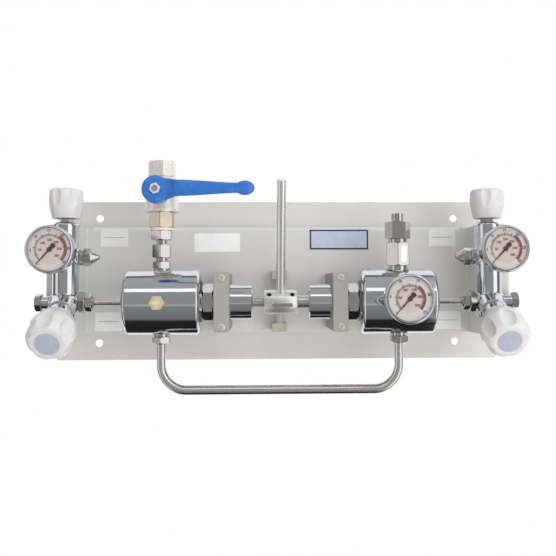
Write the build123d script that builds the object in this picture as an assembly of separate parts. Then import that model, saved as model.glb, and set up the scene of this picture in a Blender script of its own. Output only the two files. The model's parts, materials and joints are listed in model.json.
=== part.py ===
from build123d import *
from math import acos, cos, degrees, pi, radians, sin, sqrt, tan
import os

# A wall panel that feeds one gas line from two high-pressure sources and changes over between them.
# Sizes are in millimetres. X runs to the right, Z up and Y into the wall, so the front faces -Y.
# The origin is on the wall face, at the centre of the four wall holes.

# Folded sheet panel
sheet = 2.0
bend_inside = 2.5
panel_length = 530.0
panel_height = 190.0
wall_hole_diameter = 9.0
wall_hole_spacing_x = 430.0
wall_hole_spacing_z = 150.0
raised_depth = 25.0
raised_height = 125.0
raised_length = 452.0
bend_relief = 8.0
ear_depth = 77.5
ear_height = 124.0
lip_width = 31.0
lip_corner = 6.0
panel_corner = 2.0

# Gas line: one horizontal axis through the valve blocks, the tubes and the regulators
gas_line_z = -24.0
block_radius = 14.2
gas_line_y = -ear_depth - block_radius
running_gap = 0.05
thread_gap = 0.05
part_gap = 0.4

# Valve blocks, one at each end
block_spacing = 461.4
blocks_shift = -1.5
block_top_z = 62.2
block_chamfer = 2.0
block_pad_width = 22.0
block_pad_height = 96.0
block_screw_spacing = 76.0
block_screw_shift = 6.5
block_pad_z = 6.0
block_trim = (60.0, 20.0, 200.0)
isolation_angle = 30.0
isolation_barrel_radius = 15.0
isolation_barrel_end = 22.0
purge_port_z = 25.0
gauge_port_z = 31.4
port_boss_diameter = 20.0
port_boss_reach = 15.2
spigot_length = 7.0
spigot_diameter = 10.0

# Inlet fitting on the outer side of each block
inlet_boss_diameter = 12.0
inlet_boss_reach = 16.9
inlet_neck_diameter = 14.0
inlet_neck_length = 8.0
inlet_cap_flats = 17.0
inlet_cap_length = 6.6

# Purge nozzle on the inner side of each block
nozzle_flange_diameter = 18.0
nozzle_flange_length = 4.5
nozzle_hex_flats = 17.0
nozzle_hex_length = 8.0
nozzle_cone_length = 8.4
nozzle_tip_diameter = 5.0
nozzle_bore = 3.0

# Hand valves: gland, spindle and white knob
purge_gland_flats = 14.0
purge_gland_length = 10.5
purge_spindle_diameter = 6.0
purge_spindle_length = 34.0
purge_knob_clearance = 4.3
purge_knob_length = 32.5
purge_knob_base = 29.9
purge_knob_widest = 37.0
purge_knob_face = 34.0
isolation_gland_diameter = 27.0
isolation_gland_length = 19.0
isolation_spindle_diameter = 8.0
isolation_spindle_length = 46.0
isolation_knob_start = 37.0
isolation_knob_length = 42.0
isolation_knob_base = 36.0
isolation_knob_widest = 49.3
isolation_knob_face = 37.5
isolation_disc_diameter = 27.0
knob_recess_depth = 7.0
knob_wall = 3.0
knob_flutes = 6
knob_rounding = 2.5
scoop_share = 0.44
scoop_bite = 1.5
purge_scoop_lean = 5.0
isolation_scoop_lean = 12.0
isolation_knob_turn = 35.0
purge_knob_turn = 10.0

# Gauges, all of one size
bezel_diameter = 50.0
bezel_length = 7.0
case_diameter = 47.5
case_length = 26.0
dial_recess_diameter = 44.0
dial_depth = 5.5
dial_thickness = 0.8
window_thickness = 1.5
window_depth = 1.2
pointer_thickness = 0.5
pointer_lift = 0.8
pointer_length = 18.3
pointer_tail = 7.6
pointer_width = 1.1
pointer_tail_width = 5.2
pointer_hub_diameter = 5.0
pointer_spindle_diameter = 1.6
pointer_zero_angle = 228.0
gauge_stem_flats = 14.0
gauge_stem_length = 7.0
block_gauge_shift = 5.3
regulator_gauge_x = 125.2
regulator_gauge_z = -19.9
regulator_gauge_stem = 30.0

# Regulators, with bonnets that point at the selector in the middle
regulators_shift = 0.2
regulator_diameter = 71.0
regulator_inner_x = 86.3
regulator_outer_x = 167.0
regulator_rim = 2.5
end_boss_diameter = 22.0
end_boss_length = 5.0
throat_diameter = 50.0
throat_small_diameter = 41.0
throat_length = 2.0
port_x = 129.0
seat_distance = 33.0
seat_diameter = 23.0
outlet_seat_diameter = 19.4
plug_seat_distance = 35.0
plug_seat_diameter = 17.0
neck_nut_flats = 35.0
neck_nut_length = 12.0
bonnet_diameter = 38.0
bonnet_inner_x = 30.0
bonnet_rim = 3.0
bonnet_wall = 7.0
bonnet_bore_diameter = 26.0
thrust_pad_length = 5.0
thrust_pad_diameter = 24.0

# Clamp blocks that hold the bonnets on the panel
clamp_x = 63.2
clamp_thickness = 16.0
clamp_height = 63.0
clamp_front = 26.5
clamp_screw_spacing = 52.0
clamp_screw_diameter = 5.0
clamp_screw_grip = 20.0
clamp_head_diameter = 8.0
clamp_head_height = 1.2
clamp_edge = 0.8

# Selector: hub and lever on a screwed shaft
hub_diameter = 26.0
hub_length = 36.0
shaft_diameter = 12.5
shaft_collar_diameter = 14.0
shaft_overlap = 10.0
lever_diameter = 10.0
lever_reach = 139.0
lever_lean = 25.0
lever_tip_rounding = 1.2
grub_diameter = 5.0
grub_angle = 52.0
grub_inset = 5.5

# Rest bar behind the hub
rest_foot_width = 17.5
rest_foot_height = 9.8
rest_foot_reach = 31.0
rest_height = 69.5
rest_centre_z = -24.3
rest_bar_diameter = 11.0
rest_bar_inset = 1.5
rest_screw_inset = 1.2

# Tubes and their nuts
inlet_tube_diameter = 6.0
lock_nut_flats = 21.5
lock_nut_length = 6.8
tube_nut_flats = 17.0
tube_nut_length = 8.4
loop_tube_diameter = 10.0
loop_bend_radius = 27.0
loop_bottom_z = -119.1
loop_seat_diameter = 16.5
loop_fitting_length = 4.3
loop_nut_flats = 18.6
loop_nut_length = 8.0
tube_wall = 1.0
tube_socket = 5.0

# Front plug on the left regulator
plug_flats = 13.9
plug_length = 7.0

# Outlet fittings between the left regulator and the ball valve
adaptor_collar_diameter = 18.4
adaptor_collar_length = 3.0
adaptor_hex_flats = 18.2
adaptor_hex_length = 8.0
adaptor_neck_diameter = 13.5
adaptor_neck_length = 4.0
union_nut_flats = 19.4
union_nut_length = 14.5
union_spigot_diameter = 9.0
top_neck_diameter = 12.0
top_neck_length = 4.8
top_hex_flats = 21.5
top_hex_length = 10.3
ring_diameter = 25.5
ring_thickness = 3.2

# Ball valve
valve_hex_flats = 25.0
valve_hex_length = 16.7
valve_flange_diameter = 38.0
valve_flange_length = 4.0
valve_barrel_diameter = 36.0
valve_barrel_length = 34.5
valve_end_flats = 27.2
valve_end_length = 17.1
valve_end_shank = 12.0
valve_thread_diameter = 19.0
valve_thread_depth = 14.0
valve_port_diameter = 13.0
ball_diameter = 23.0
ball_cavity_diameter = 25.0
seat_ring_outside = 21.0
stem_diameter = 9.0
stem_boss_diameter = 20.0
stem_boss_reach = 33.0
stem_gland_diameter = 15.0
stem_gland_reach = 43.0
stem_tang = 5.0
stem_tang_depth = 2.5
stem_flats = 7.0
stem_thread_diameter = 6.0

# Ball valve lever
handle_plane = 50.0
handle_hub_diameter = 28.5
handle_hub_thickness = 5.0
handle_skirt_depth = 14.0
handle_skirt_wall = 3.0
handle_thickness = 5.0
handle_rise = 8.0
handle_root_width = 16.7
handle_tip_width = 10.0
handle_length = 101.5
handle_bulb_length = 20.0
handle_bulb_width = 14.7
handle_crank_start = 12.0
handle_crank_length = 12.0
handle_nut_flats = 10.0
handle_nut_length = 4.0

# Relief valve on the right regulator
relief_neck_diameter = 20.0
relief_neck_length = 6.0
relief_hex_flats = 24.3
relief_hex_length = 25.2
relief_collar_diameter = 20.0
relief_collar_length = 3.9
relief_nut_flats = 24.7
relief_nut_length = 19.0
relief_stub_diameter = 14.0
relief_stub_length = 9.0
relief_shank_diameter = 13.0
relief_shank_end = 0.5
relief_bore = 7.0

# Screws that come from behind the sheet
rear_screw_diameter = 6.0
rear_screw_head = 10.0
rear_screw_head_height = 4.0
rear_screw_grip = 8.0

MIN = (Align.CENTER, Align.CENTER, Align.MIN)
SIDES = {"left": -1, "right": 1}
FRONT = (0, -1, 0)


def at(x, y, z, direction=(0, 0, 1), turn=0):
    """The location of a work plane: local Z points along direction, local X along world X or Z."""
    across = (0, 0, 1) if abs(direction[0]) > 0.9 else (1, 0, 0)
    return Plane(origin=(x, y, z), x_dir=across, z_dir=direction).location * Rot(0, 0, turn)


def rod(where, diameter, length, start=0):
    """A round bar along local Z."""
    return where * Pos(0, 0, start) * Cylinder(diameter / 2, length, align=MIN)


def turned(where, *outline):
    """A lathe-turned solid. Each outline point is (radius, height) or (radius, height, rounding)."""
    corners = [(point[0], 0, point[1]) for point in outline]
    roundings = [point[2] if len(point) > 2 else 0 for point in outline]
    section = make_face(FilletPolyline(*corners, radius=roundings, close=True))
    return where * revolve(section, Axis.Z)


def hexagon(where, flats, length, start=0, sides=6):
    """A hexagon bar, or one of another number of sides, with its corners turned down at both ends."""
    corner = flats / cos(pi / sides) / 2
    over = corner + 0.3
    face = flats / 2 - 0.2
    drop = (over - face) * tan(radians(30))
    bar = extrude(RegularPolygon(radius=corner, side_count=sides), length)
    turning = turned(Pos(0, 0, 0), (0, 0), (face, 0), (over, drop), (over, length - drop), (face, length), (0, length))
    return where * Pos(0, 0, start) * (bar & turning)


def drawn_out(face, length):
    return extrude(face, length, dir=(0, 0, 1))


def folded(points, thickness, inside_radius):
    """The section of a folded sheet. One side runs through the points; the other lies thickness to the left,
    or to the right if the thickness is negative."""
    count = len(points)
    steps = [(Vector(*points[i + 1]) - Vector(*points[i])).normalized() for i in range(count - 1)]
    lefts = [Vector(-step.Y, step.X) for step in steps]
    near = [Vector(*point) for point in points]
    far = [near[0] + lefts[0] * thickness]
    near_radii = []
    far_radii = []
    for i in range(1, count - 1):
        mitre = (lefts[i - 1] + lefts[i]) * (thickness / (1 + lefts[i - 1].dot(lefts[i])))
        far.append(near[i] + mitre)
        closes_on_far_side = (steps[i - 1].cross(steps[i]).Z > 0) == (thickness > 0)
        near_radii.append(inside_radius + (abs(thickness) if closes_on_far_side else 0))
        far_radii.append(inside_radius + (0 if closes_on_far_side else abs(thickness)))
    far.append(near[-1] + lefts[-1] * thickness)
    corners = near + far[::-1]
    radii = [0] + near_radii + [0, 0] + far_radii[::-1] + [0]
    return make_face(FilletPolyline(*corners, radius=radii, close=True))


def block_x(side):
    return SIDES[side] * block_spacing / 2 + blocks_shift


def centre_x(side, distance):
    """A place on the regulator assembly, measured from the selector in the middle."""
    return regulators_shift + SIDES[side] * distance


def wall_hole_places():
    return [(sx * wall_hole_spacing_x / 2, sz * wall_hole_spacing_z / 2) for sx in (-1, 1) for sz in (-1, 1)]


def rear_screw_places():
    """(x, sheet face y, z) of every screw that comes through the sheet from behind."""
    places = []
    for side, sign in SIDES.items():
        block_screw_x = block_x(side) + sign * block_screw_shift
        for end in (-1, 1):
            places.append((block_screw_x, -ear_depth, block_pad_z + end * block_screw_spacing / 2))
            places.append((centre_x(side, clamp_x), -raised_depth, gas_line_z + end * clamp_screw_spacing / 2))
    for end in (-1, 1):
        places.append((regulators_shift, -raised_depth, rest_foot_z(end) - end * rest_screw_inset))
    return places


def rest_foot_z(end):
    return rest_centre_z + end * (rest_height - rest_foot_height) / 2


def back_panel():
    """Wall flanges, raised face, and at each end an ear folded forward with an outward lip."""
    top = raised_height / 2 - sheet
    back = -raised_depth + sheet
    hat = folded([(0, panel_height / 2), (0, top), (back, top), (back, -top), (0, -top), (0, -panel_height / 2)],
                 -sheet, bend_inside)
    middle_length = raised_length - 2 * bend_relief
    along = Plane(origin=(-middle_length / 2, 0, 0), x_dir=(0, 1, 0), z_dir=(1, 0, 0)).location
    panel = along * drawn_out(hat, middle_length)
    flange_height = (panel_height - raised_height) / 2 - bend_inside - sheet
    for up in (-1, 1):
        flange_z = up * (panel_height - flange_height) / 2
        panel += Pos(0, -sheet / 2, flange_z) * Box(panel_length, sheet, flange_height)
    half = raised_length / 2
    for sign in SIDES.values():
        inner = half - bend_relief
        outline = [(sign * inner, -raised_depth), (sign * half, -raised_depth), (sign * half, -ear_depth),
                   (sign * (half + lip_width), -ear_depth)]
        end = folded(outline, sign * sheet, bend_inside)
        panel += Pos(0, 0, -ear_height / 2) * drawn_out(end, ear_height)
    tips = panel.edges().filter_by(Axis.Y).filter_by(lambda e: abs(e.center().Y) > ear_depth - sheet)
    panel = fillet(tips.filter_by(lambda e: abs(e.center().X) > half + lip_width - 1), lip_corner)
    corners = panel.edges().filter_by(Axis.Y).filter_by(lambda e: abs(e.center().X) > panel_length / 2 - 1)
    panel = fillet(corners, panel_corner)
    for x, z in wall_hole_places():
        panel -= rod(at(x, 1, z, FRONT), wall_hole_diameter, sheet + 2)
    for x, y, z in rear_screw_places():
        panel -= rod(at(x, y + sheet + 1, z, FRONT), rear_screw_diameter + 2 * thread_gap, sheet + 2)
    return panel


def rear_screws():
    """Screws through the sheet into the blocks, the clamp saddles and the rest feet."""
    screws = []
    for x, y, z in rear_screw_places():
        seat = at(x, y + sheet, z, FRONT)
        head = rod(seat, rear_screw_head, rear_screw_head_height, -rear_screw_head_height)
        head = chamfer(head.edges().sort_by(Axis.Y)[-1], 0.6)
        head -= hexagon(at(x, y + sheet + rear_screw_head_height, z, FRONT), 5.0, 2.0)
        screws.append(head + rod(seat, rear_screw_diameter, sheet + rear_screw_grip))
    return screws


def screw_hole(x, y, z):
    """The blind hole for a rear screw, in the piece that it holds."""
    return rod(at(x, y, z, FRONT), rear_screw_diameter + 2 * thread_gap, rear_screw_grip + 1)


def isolation_axis(side, distance=0):
    """A place along the inclined isolation valve, which leans down and forward."""
    lean = radians(isolation_angle)
    direction = (0, -cos(lean), -sin(lean))
    return at(block_x(side), gas_line_y, gas_line_z, direction) * Pos(0, 0, distance)


def valve_block(side):
    """A forged body with a vertical barrel, an inclined barrel, a back pad and bosses for its ports."""
    x = block_x(side)
    sign = SIDES[side]
    height = block_top_z - gas_line_z
    barrel = rod(at(x, gas_line_y, gas_line_z), 2 * block_radius, height)
    block = chamfer(barrel.edges().filter_by(GeomType.CIRCLE).sort_by(Axis.Z)[-1], block_chamfer)
    block += Pos(x, gas_line_y, gas_line_z) * Sphere(isolation_barrel_radius)
    block += rod(isolation_axis(side), 2 * isolation_barrel_radius, isolation_barrel_end)
    pad_depth = block_radius - 1
    pad = Pos(x, -ear_depth, block_pad_z) * Box(
        block_pad_width, pad_depth, block_pad_height, align=(Align.CENTER, Align.MAX, Align.CENTER))
    block += pad
    block -= Pos(x, -ear_depth, 0) * Box(*block_trim, align=(Align.CENTER, Align.MIN, Align.CENTER))
    outward = (sign, 0, 0)
    inward = (-sign, 0, 0)
    block += rod(at(x, gas_line_y, gas_line_z, outward), inlet_boss_diameter + 4, inlet_boss_reach)
    block += rod(at(x, gas_line_y, gas_line_z, inward), port_boss_diameter, port_boss_reach)
    block += rod(at(x, gas_line_y, purge_port_z, inward), port_boss_diameter - 3, port_boss_reach)
    gauge_x = x + sign * block_gauge_shift
    block += rod(at(gauge_x, gas_line_y, gauge_port_z, FRONT), port_boss_diameter, port_boss_reach)
    hole = spigot_diameter + 2 * thread_gap
    depth = spigot_length + 0.5
    block -= rod(at(x, gas_line_y, gas_line_z, outward), hole, depth, inlet_boss_reach - depth)
    block -= rod(at(x, gas_line_y, gas_line_z, inward), hole, depth, port_boss_reach - depth)
    block -= rod(at(x, gas_line_y, purge_port_z, inward), hole, depth, port_boss_reach - depth)
    block -= rod(at(gauge_x, gas_line_y, gauge_port_z, FRONT), hole, depth, port_boss_reach - depth)
    block -= rod(at(x, gas_line_y, block_top_z, (0, 0, -1)), hole, depth + 4)
    block -= rod(isolation_axis(side, isolation_barrel_end - 12), 16 + 2 * thread_gap, 13)
    for end in (-1, 1):
        block -= screw_hole(x + sign * block_screw_shift, -ear_depth, block_pad_z + end * block_screw_spacing / 2)
    return block


def inlet_adaptors():
    """The high-pressure inlet nipple on the outer side of each block."""
    pieces = []
    for side, sign in SIDES.items():
        seat = at(block_x(side) + sign * inlet_boss_reach, gas_line_y, gas_line_z, (sign, 0, 0))
        nipple = rod(seat, inlet_neck_diameter, inlet_neck_length)
        nipple += rod(seat, spigot_diameter, spigot_length, -spigot_length)
        nipple += rod(seat, spigot_diameter, inlet_cap_length - 2, inlet_neck_length)
        pieces.append(nipple)
    return pieces


def inlet_caps():
    """Cap nuts that close the inlets until a source is connected."""
    pieces = []
    for side, sign in SIDES.items():
        seat_x = block_x(side) + sign * (inlet_boss_reach + inlet_neck_length)
        seat = at(seat_x, gas_line_y, gas_line_z, (sign, 0, 0), 15)
        cap = hexagon(seat, inlet_cap_flats, inlet_cap_length)
        pieces.append(cap - rod(seat, spigot_diameter + 2 * thread_gap, inlet_cap_length - 1.5))
    return pieces


def purge_nozzles():
    """Flange, hexagon and hollow cone where the purged gas leaves."""
    pieces = []
    for side, sign in SIDES.items():
        seat = at(block_x(side) - sign * port_boss_reach, gas_line_y, purge_port_z, (-sign, 0, 0), 10)
        nozzle = rod(seat, nozzle_flange_diameter, nozzle_flange_length)
        nozzle = chamfer(nozzle.edges().filter_by(GeomType.CIRCLE), 0.8)
        nozzle += hexagon(seat, nozzle_hex_flats, nozzle_hex_length, nozzle_flange_length)
        base = nozzle_flange_length + nozzle_hex_length
        nozzle += turned(seat, (0, base), (nozzle_hex_flats / 2 - 0.6, base),
                         (nozzle_tip_diameter / 2, base + nozzle_cone_length), (0, base + nozzle_cone_length))
        nozzle += rod(seat, spigot_diameter, spigot_length, -spigot_length)
        pieces.append(nozzle - rod(seat, nozzle_bore, base + nozzle_cone_length))
    return pieces


def outlet_lock_nuts():
    """The nut between each block's outlet boss and its tube nut."""
    pieces = []
    for side, sign in SIDES.items():
        seat = at(block_x(side) - sign * port_boss_reach, gas_line_y, gas_line_z, (-sign, 0, 0), 20)
        nut = hexagon(seat, lock_nut_flats, lock_nut_length)
        nut += rod(seat, spigot_diameter, spigot_length, -spigot_length)
        pieces.append(nut - rod(seat, inlet_tube_diameter + 2 * thread_gap, tube_socket, lock_nut_length - tube_socket))
    return pieces


def tube_ends(side):
    """The x of the inlet tube's two ends: in the lock nut, and in the regulator's end boss."""
    sign = SIDES[side]
    block_end = block_x(side) - sign * (port_boss_reach + lock_nut_length - tube_socket)
    regulator_end = centre_x(side, regulator_outer_x + end_boss_length - tube_socket)
    return block_end, regulator_end


def inlet_tubes():
    """Straight high-pressure tubes from the blocks to the regulators."""
    pieces = []
    for side, sign in SIDES.items():
        start, end = tube_ends(side)
        length = abs(end - start)
        tube = rod(at(start, gas_line_y, gas_line_z, (-sign, 0, 0)), inlet_tube_diameter, length)
        pieces.append(tube - rod(at(start, gas_line_y, gas_line_z, (-sign, 0, 0)),
                                 inlet_tube_diameter - 2 * tube_wall, length))
    return pieces


def tube_nuts():
    """Compression nuts at the blocks, at the regulators' outer ends and on the loop tube."""
    pieces = []
    for side, sign in SIDES.items():
        seat_x = block_x(side) - sign * (port_boss_reach + lock_nut_length)
        seat = at(seat_x, gas_line_y, gas_line_z, (-sign, 0, 0))
        nut = hexagon(seat, tube_nut_flats, tube_nut_length)
        pieces.append(nut - rod(seat, inlet_tube_diameter + 2 * thread_gap, tube_nut_length))
        low = at(centre_x(side, port_x), gas_line_y, gas_line_z - seat_distance - loop_fitting_length, (0, 0, -1), 30)
        nut = hexagon(low, loop_nut_flats, loop_nut_length)
        pieces.append(nut - rod(low, loop_tube_diameter + 2 * thread_gap, loop_nut_length))
    return pieces


def knob(where, length, base, widest, face, scoop_lean, bore, disc=0):
    """A fluted hand knob, its base at the local origin. The flutes deepen towards the face."""
    low = base / 2
    wide = widest / 2
    top = face / 2
    outline = [(0, 0), (low, 0, 1.2), (wide - 0.6, length * 0.45, length * 0.5), (wide, length * 0.66, length * 0.2),
               (top, length, knob_rounding), (0, length)]
    body = turned(Pos(0, 0, 0), *outline)
    scoop_radius = wide * scoop_share
    reach = top - scoop_bite + scoop_radius
    for number in range(knob_flutes):
        cutter = Rot(0, 0, 360 / knob_flutes * number) * Pos(reach, 0, length) * Rot(0, -scoop_lean, 0)
        body -= cutter * Cylinder(scoop_radius, length * 2.2)
    recess = base / 2 - knob_wall
    body -= rod(Pos(0, 0, 0), 2 * recess, knob_recess_depth)
    body -= rod(Pos(0, 0, 0), bore, length - knob_wall)
    if disc:
        body -= rod(Pos(0, 0, length - 0.6), disc, 1)
        body += rod(Pos(0, 0, length - 0.6), disc - 1, 0.6)
    return where * body


def purge_glands():
    pieces = []
    for side in SIDES:
        seat = at(block_x(side), gas_line_y, block_top_z)
        gland = hexagon(seat, purge_gland_flats, purge_gland_length)
        gland += rod(seat, spigot_diameter, spigot_length, -spigot_length)
        bore = purge_spindle_diameter + 2 * running_gap
        pieces.append(gland - rod(seat, bore, purge_gland_length + spigot_length, -spigot_length))
    return pieces


def purge_spindle(side):
    seat = at(block_x(side), gas_line_y, block_top_z)
    start = -spigot_length + 1
    return rod(seat, purge_spindle_diameter, purge_spindle_length, start)


def purge_knob(side):
    seat = at(block_x(side), gas_line_y, block_top_z + purge_knob_clearance, turn=purge_knob_turn)
    return knob(seat, purge_knob_length, purge_knob_base, purge_knob_widest, purge_knob_face, purge_scoop_lean,
                purge_spindle_diameter + 2 * thread_gap)


def isolation_glands():
    """The turned neck that closes each inclined barrel and guides the spindle."""
    pieces = []
    for side in SIDES:
        seat = isolation_axis(side, isolation_barrel_end)
        radius = isolation_gland_diameter / 2
        gland = turned(seat, (0, 0), (radius, 0, 0.8), (radius, isolation_gland_length * 0.6, 0.8),
                       (radius - 3.5, isolation_gland_length, 0.8), (0, isolation_gland_length))
        gland += rod(seat, 16, 11, -11)
        bore = isolation_spindle_diameter + 2 * running_gap
        pieces.append(gland - rod(seat, bore, isolation_gland_length + 11, -11))
    return pieces


def isolation_spindle(side):
    start = isolation_barrel_end - 10
    return rod(isolation_axis(side), isolation_spindle_diameter, isolation_spindle_length, start)


def isolation_knob(side):
    seat = isolation_axis(side, isolation_knob_start) * Rot(0, 0, isolation_knob_turn)
    return knob(seat, isolation_knob_length, isolation_knob_base, isolation_knob_widest, isolation_knob_face,
                isolation_scoop_lean, isolation_spindle_diameter + 2 * thread_gap, isolation_disc_diameter)


def gauge_seats():
    """Name, location of the case's back centre, and stem length of each gauge. Local Z points forward."""
    seats = {}
    stem = gauge_stem_length
    for side, sign in SIDES.items():
        x = block_x(side) + sign * block_gauge_shift
        seats[side] = (at(x, gas_line_y - port_boss_reach - stem, gauge_port_z, FRONT), stem)
    front = gas_line_y - seat_distance - regulator_gauge_stem
    seats["regulator"] = (at(regulator_gauge_x, front, regulator_gauge_z, FRONT), regulator_gauge_stem)
    return seats


def gauge_case(name):
    """Round case with a bezel, a recess for the dial and window, and a hexagon stem behind."""
    seat, stem = gauge_seats()[name]
    radius = case_diameter / 2
    rim = bezel_diameter / 2
    case = turned(seat, (0, 0), (radius - 4, 0), (radius, 3, 2.5), (radius, case_length - bezel_length),
                  (rim, case_length - bezel_length, 1), (rim, case_length - 1.5, 1.5), (rim - 2.2, case_length, 0.8),
                  (dial_recess_diameter / 2, case_length - 0.6), (dial_recess_diameter / 2, case_length - dial_depth),
                  (0, case_length - dial_depth))
    case += hexagon(seat, gauge_stem_flats, stem, -stem)
    case += rod(seat, spigot_diameter, spigot_length, -stem - spigot_length)
    bore = pointer_spindle_diameter + 2 * running_gap
    return case - rod(seat, bore, 3, case_length - dial_depth - 3)


def dial_plane(name):
    seat, stem = gauge_seats()[name]
    return seat * Pos(0, 0, case_length - dial_depth)


def gauge_dials():
    pieces = []
    for name in gauge_seats():
        plate = rod(dial_plane(name), dial_recess_diameter - 2 * thread_gap, dial_thickness)
        pieces.append(plate - rod(dial_plane(name), pointer_spindle_diameter + 2 * running_gap, dial_thickness))
    return pieces


def gauge_windows():
    pieces = []
    for name in gauge_seats():
        start = dial_depth - window_depth - window_thickness
        pieces.append(rod(dial_plane(name), dial_recess_diameter - 2 * thread_gap, window_thickness, start))
    return pieces


def gauge_pointer(name):
    """A needle with a hub and a broad counterweight, at zero on the lower left of the dial."""
    plane = dial_plane(name)
    needle = Polyline((pointer_length, pointer_width / 4), (pointer_length, -pointer_width / 4),
                      (0, -pointer_width), (-pointer_tail + 2, -pointer_tail_width / 2),
                      (-pointer_tail, -pointer_tail_width / 2 + 0.8), (-pointer_tail, pointer_tail_width / 2 - 0.8),
                      (-pointer_tail + 2, pointer_tail_width / 2), (0, pointer_width), close=True)
    flat = extrude(make_face(needle), pointer_thickness)
    flat += Cylinder(pointer_hub_diameter / 2, pointer_thickness + 0.5, align=MIN)
    spindle_length = dial_thickness + pointer_lift + 2
    flat += rod(Pos(0, 0, 0), pointer_spindle_diameter, spindle_length, -spindle_length)
    return plane * Pos(0, 0, dial_thickness + pointer_lift) * Rot(0, 0, pointer_zero_angle) * flat


def gas_axis(side, distance):
    """A place on the gas line, local Z pointing outward from the selector."""
    return at(centre_x(side, distance), gas_line_y, gas_line_z, (SIDES[side], 0, 0))


def seat_on_regulator(side, direction, turn=0, distance=seat_distance):
    """The flat seat of a port on the regulator's round side."""
    x = centre_x(side, port_x)
    y = gas_line_y + direction[1] * distance
    z = gas_line_z + direction[2] * distance
    return at(x, y, z, direction, turn)


def regulator_ports(side):
    """(seat, seat diameter) of each port on a regulator."""
    ports = [(seat_on_regulator(side, (0, 0, -1)), loop_seat_diameter + 2)]
    if side == "left":
        ports.append((seat_on_regulator(side, (0, 0, 1)), outlet_seat_diameter))
        ports.append((seat_on_regulator(side, FRONT, distance=plug_seat_distance), plug_seat_diameter))
    else:
        ports.append((seat_on_regulator(side, (0, 0, 1)), seat_diameter))
        front = at(regulator_gauge_x, gas_line_y - seat_distance, regulator_gauge_z, FRONT)
        ports.append((front, gauge_stem_flats + 5))
    return ports


def regulator_body(side):
    """The turned body with its outer end boss, inner throat and flat-faced ports."""
    length = regulator_outer_x - regulator_inner_x
    radius = regulator_diameter / 2
    boss = end_boss_diameter / 2
    body = turned(gas_axis(side, regulator_inner_x),
                  (0, -throat_length), (throat_small_diameter / 2, -throat_length), (throat_diameter / 2, 0),
                  (radius - regulator_rim, 0, 0.8), (radius, regulator_rim, 1.5), (radius, length - regulator_rim, 1.5),
                  (radius - regulator_rim, length, 0.8), (boss, length, 0.5), (boss, length + end_boss_length, 2),
                  (0, length + end_boss_length))
    for seat, diameter in regulator_ports(side):
        body -= rod(seat, diameter, 10)
        body -= rod(seat, spigot_diameter + 2 * thread_gap, spigot_length + 0.5, -spigot_length - 0.5)
    socket = gas_axis(side, regulator_outer_x + end_boss_length - tube_socket)
    return body - rod(socket, inlet_tube_diameter + 2 * thread_gap, tube_socket)


def neck_nut(side):
    start = regulator_inner_x - throat_length - neck_nut_length
    return hexagon(gas_axis(side, start), neck_nut_flats, neck_nut_length)


def bonnet_outer_x():
    return regulator_inner_x - throat_length - neck_nut_length


def shaft_bore(side):
    """The shaft is screwed on the left and plain on the right, where it is a little thicker."""
    diameter = shaft_diameter if side == "left" else shaft_collar_diameter
    return diameter + 2 * running_gap


def bonnet(side):
    """The spring housing, open behind its end wall for the thrust pad."""
    length = bonnet_outer_x() - bonnet_inner_x
    radius = bonnet_diameter / 2
    place = gas_axis(side, bonnet_inner_x)
    shell = turned(place, (0, 0), (radius, 0, bonnet_rim), (radius, length, 0.8), (0, length))
    shell -= rod(place, shaft_bore(side), bonnet_wall)
    return shell - rod(place, bonnet_bore_diameter, length - bonnet_wall - 6, bonnet_wall)


def thrust_pads():
    """Pads that the shaft's ends push against the springs; they shift with the shaft but don't turn."""
    pieces = []
    for side in SIDES:
        start = bonnet_inner_x + shaft_overlap + part_gap / 2
        pieces.append(rod(gas_axis(side, start), thrust_pad_diameter, thrust_pad_length))
    return pieces


def clamp_box(side, front, back):
    depth = back - front
    box = Pos(centre_x(side, clamp_x), (front + back) / 2, gas_line_z) * Box(clamp_thickness, depth, clamp_height)
    box = chamfer(box.edges().filter_by(Axis.Y), clamp_edge)
    bore = bonnet_diameter + 2 * thread_gap
    return box - rod(at(centre_x(side, clamp_x) - clamp_thickness, gas_line_y, gas_line_z, (1, 0, 0)), bore,
                     2 * clamp_thickness)


def clamp_screw_seats(side):
    x = centre_x(side, clamp_x)
    y = gas_line_y - clamp_front
    return [at(x, y, gas_line_z + end * clamp_screw_spacing / 2, FRONT) for end in (-1, 1)]


def clamp_saddle(side):
    saddle = clamp_box(side, gas_line_y, -raised_depth)
    for seat in clamp_screw_seats(side):
        saddle -= rod(seat, clamp_screw_diameter + 2 * thread_gap, clamp_screw_grip, -clamp_front - clamp_screw_grip)
    for end in (-1, 1):
        saddle -= screw_hole(centre_x(side, clamp_x), -raised_depth, gas_line_z + end * clamp_screw_spacing / 2)
    return saddle


def clamp_cap(side):
    cap = clamp_box(side, gas_line_y - clamp_front, gas_line_y)
    for seat in clamp_screw_seats(side):
        cap -= rod(seat, clamp_screw_diameter + 2 * thread_gap, clamp_front, -clamp_front)
    return cap


def clamp_screws():
    """Pan-head cross-recess screws through the caps into the saddles."""
    pieces = []
    for side in SIDES:
        for seat in clamp_screw_seats(side):
            radius = clamp_head_diameter / 2
            head = turned(seat, (0, 0), (radius, 0), (radius, clamp_head_height * 0.5),
                          (radius - 1.2, clamp_head_height), (0, clamp_head_height))
            shank = rod(seat, clamp_screw_diameter, clamp_front + clamp_screw_grip - 1,
                        -clamp_front - clamp_screw_grip + 1)
            slot = seat * Pos(0, 0, clamp_head_height) * (Box(4.4, 0.9, 1.6) + Box(0.9, 4.4, 1.6))
            pieces.append(head + shank - slot)
    return pieces


def hub_place(angle=0):
    """The hub's centre; local Z points up, leaned towards the front by the angle."""
    lean = radians(angle)
    return at(regulators_shift, gas_line_y, gas_line_z, (0, -sin(lean), cos(lean)))


def grub_seats():
    offset = hub_length / 2 - grub_inset
    return [hub_place(grub_angle) * Pos(end * offset, 0, 0) for end in (-1, 1)]


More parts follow.
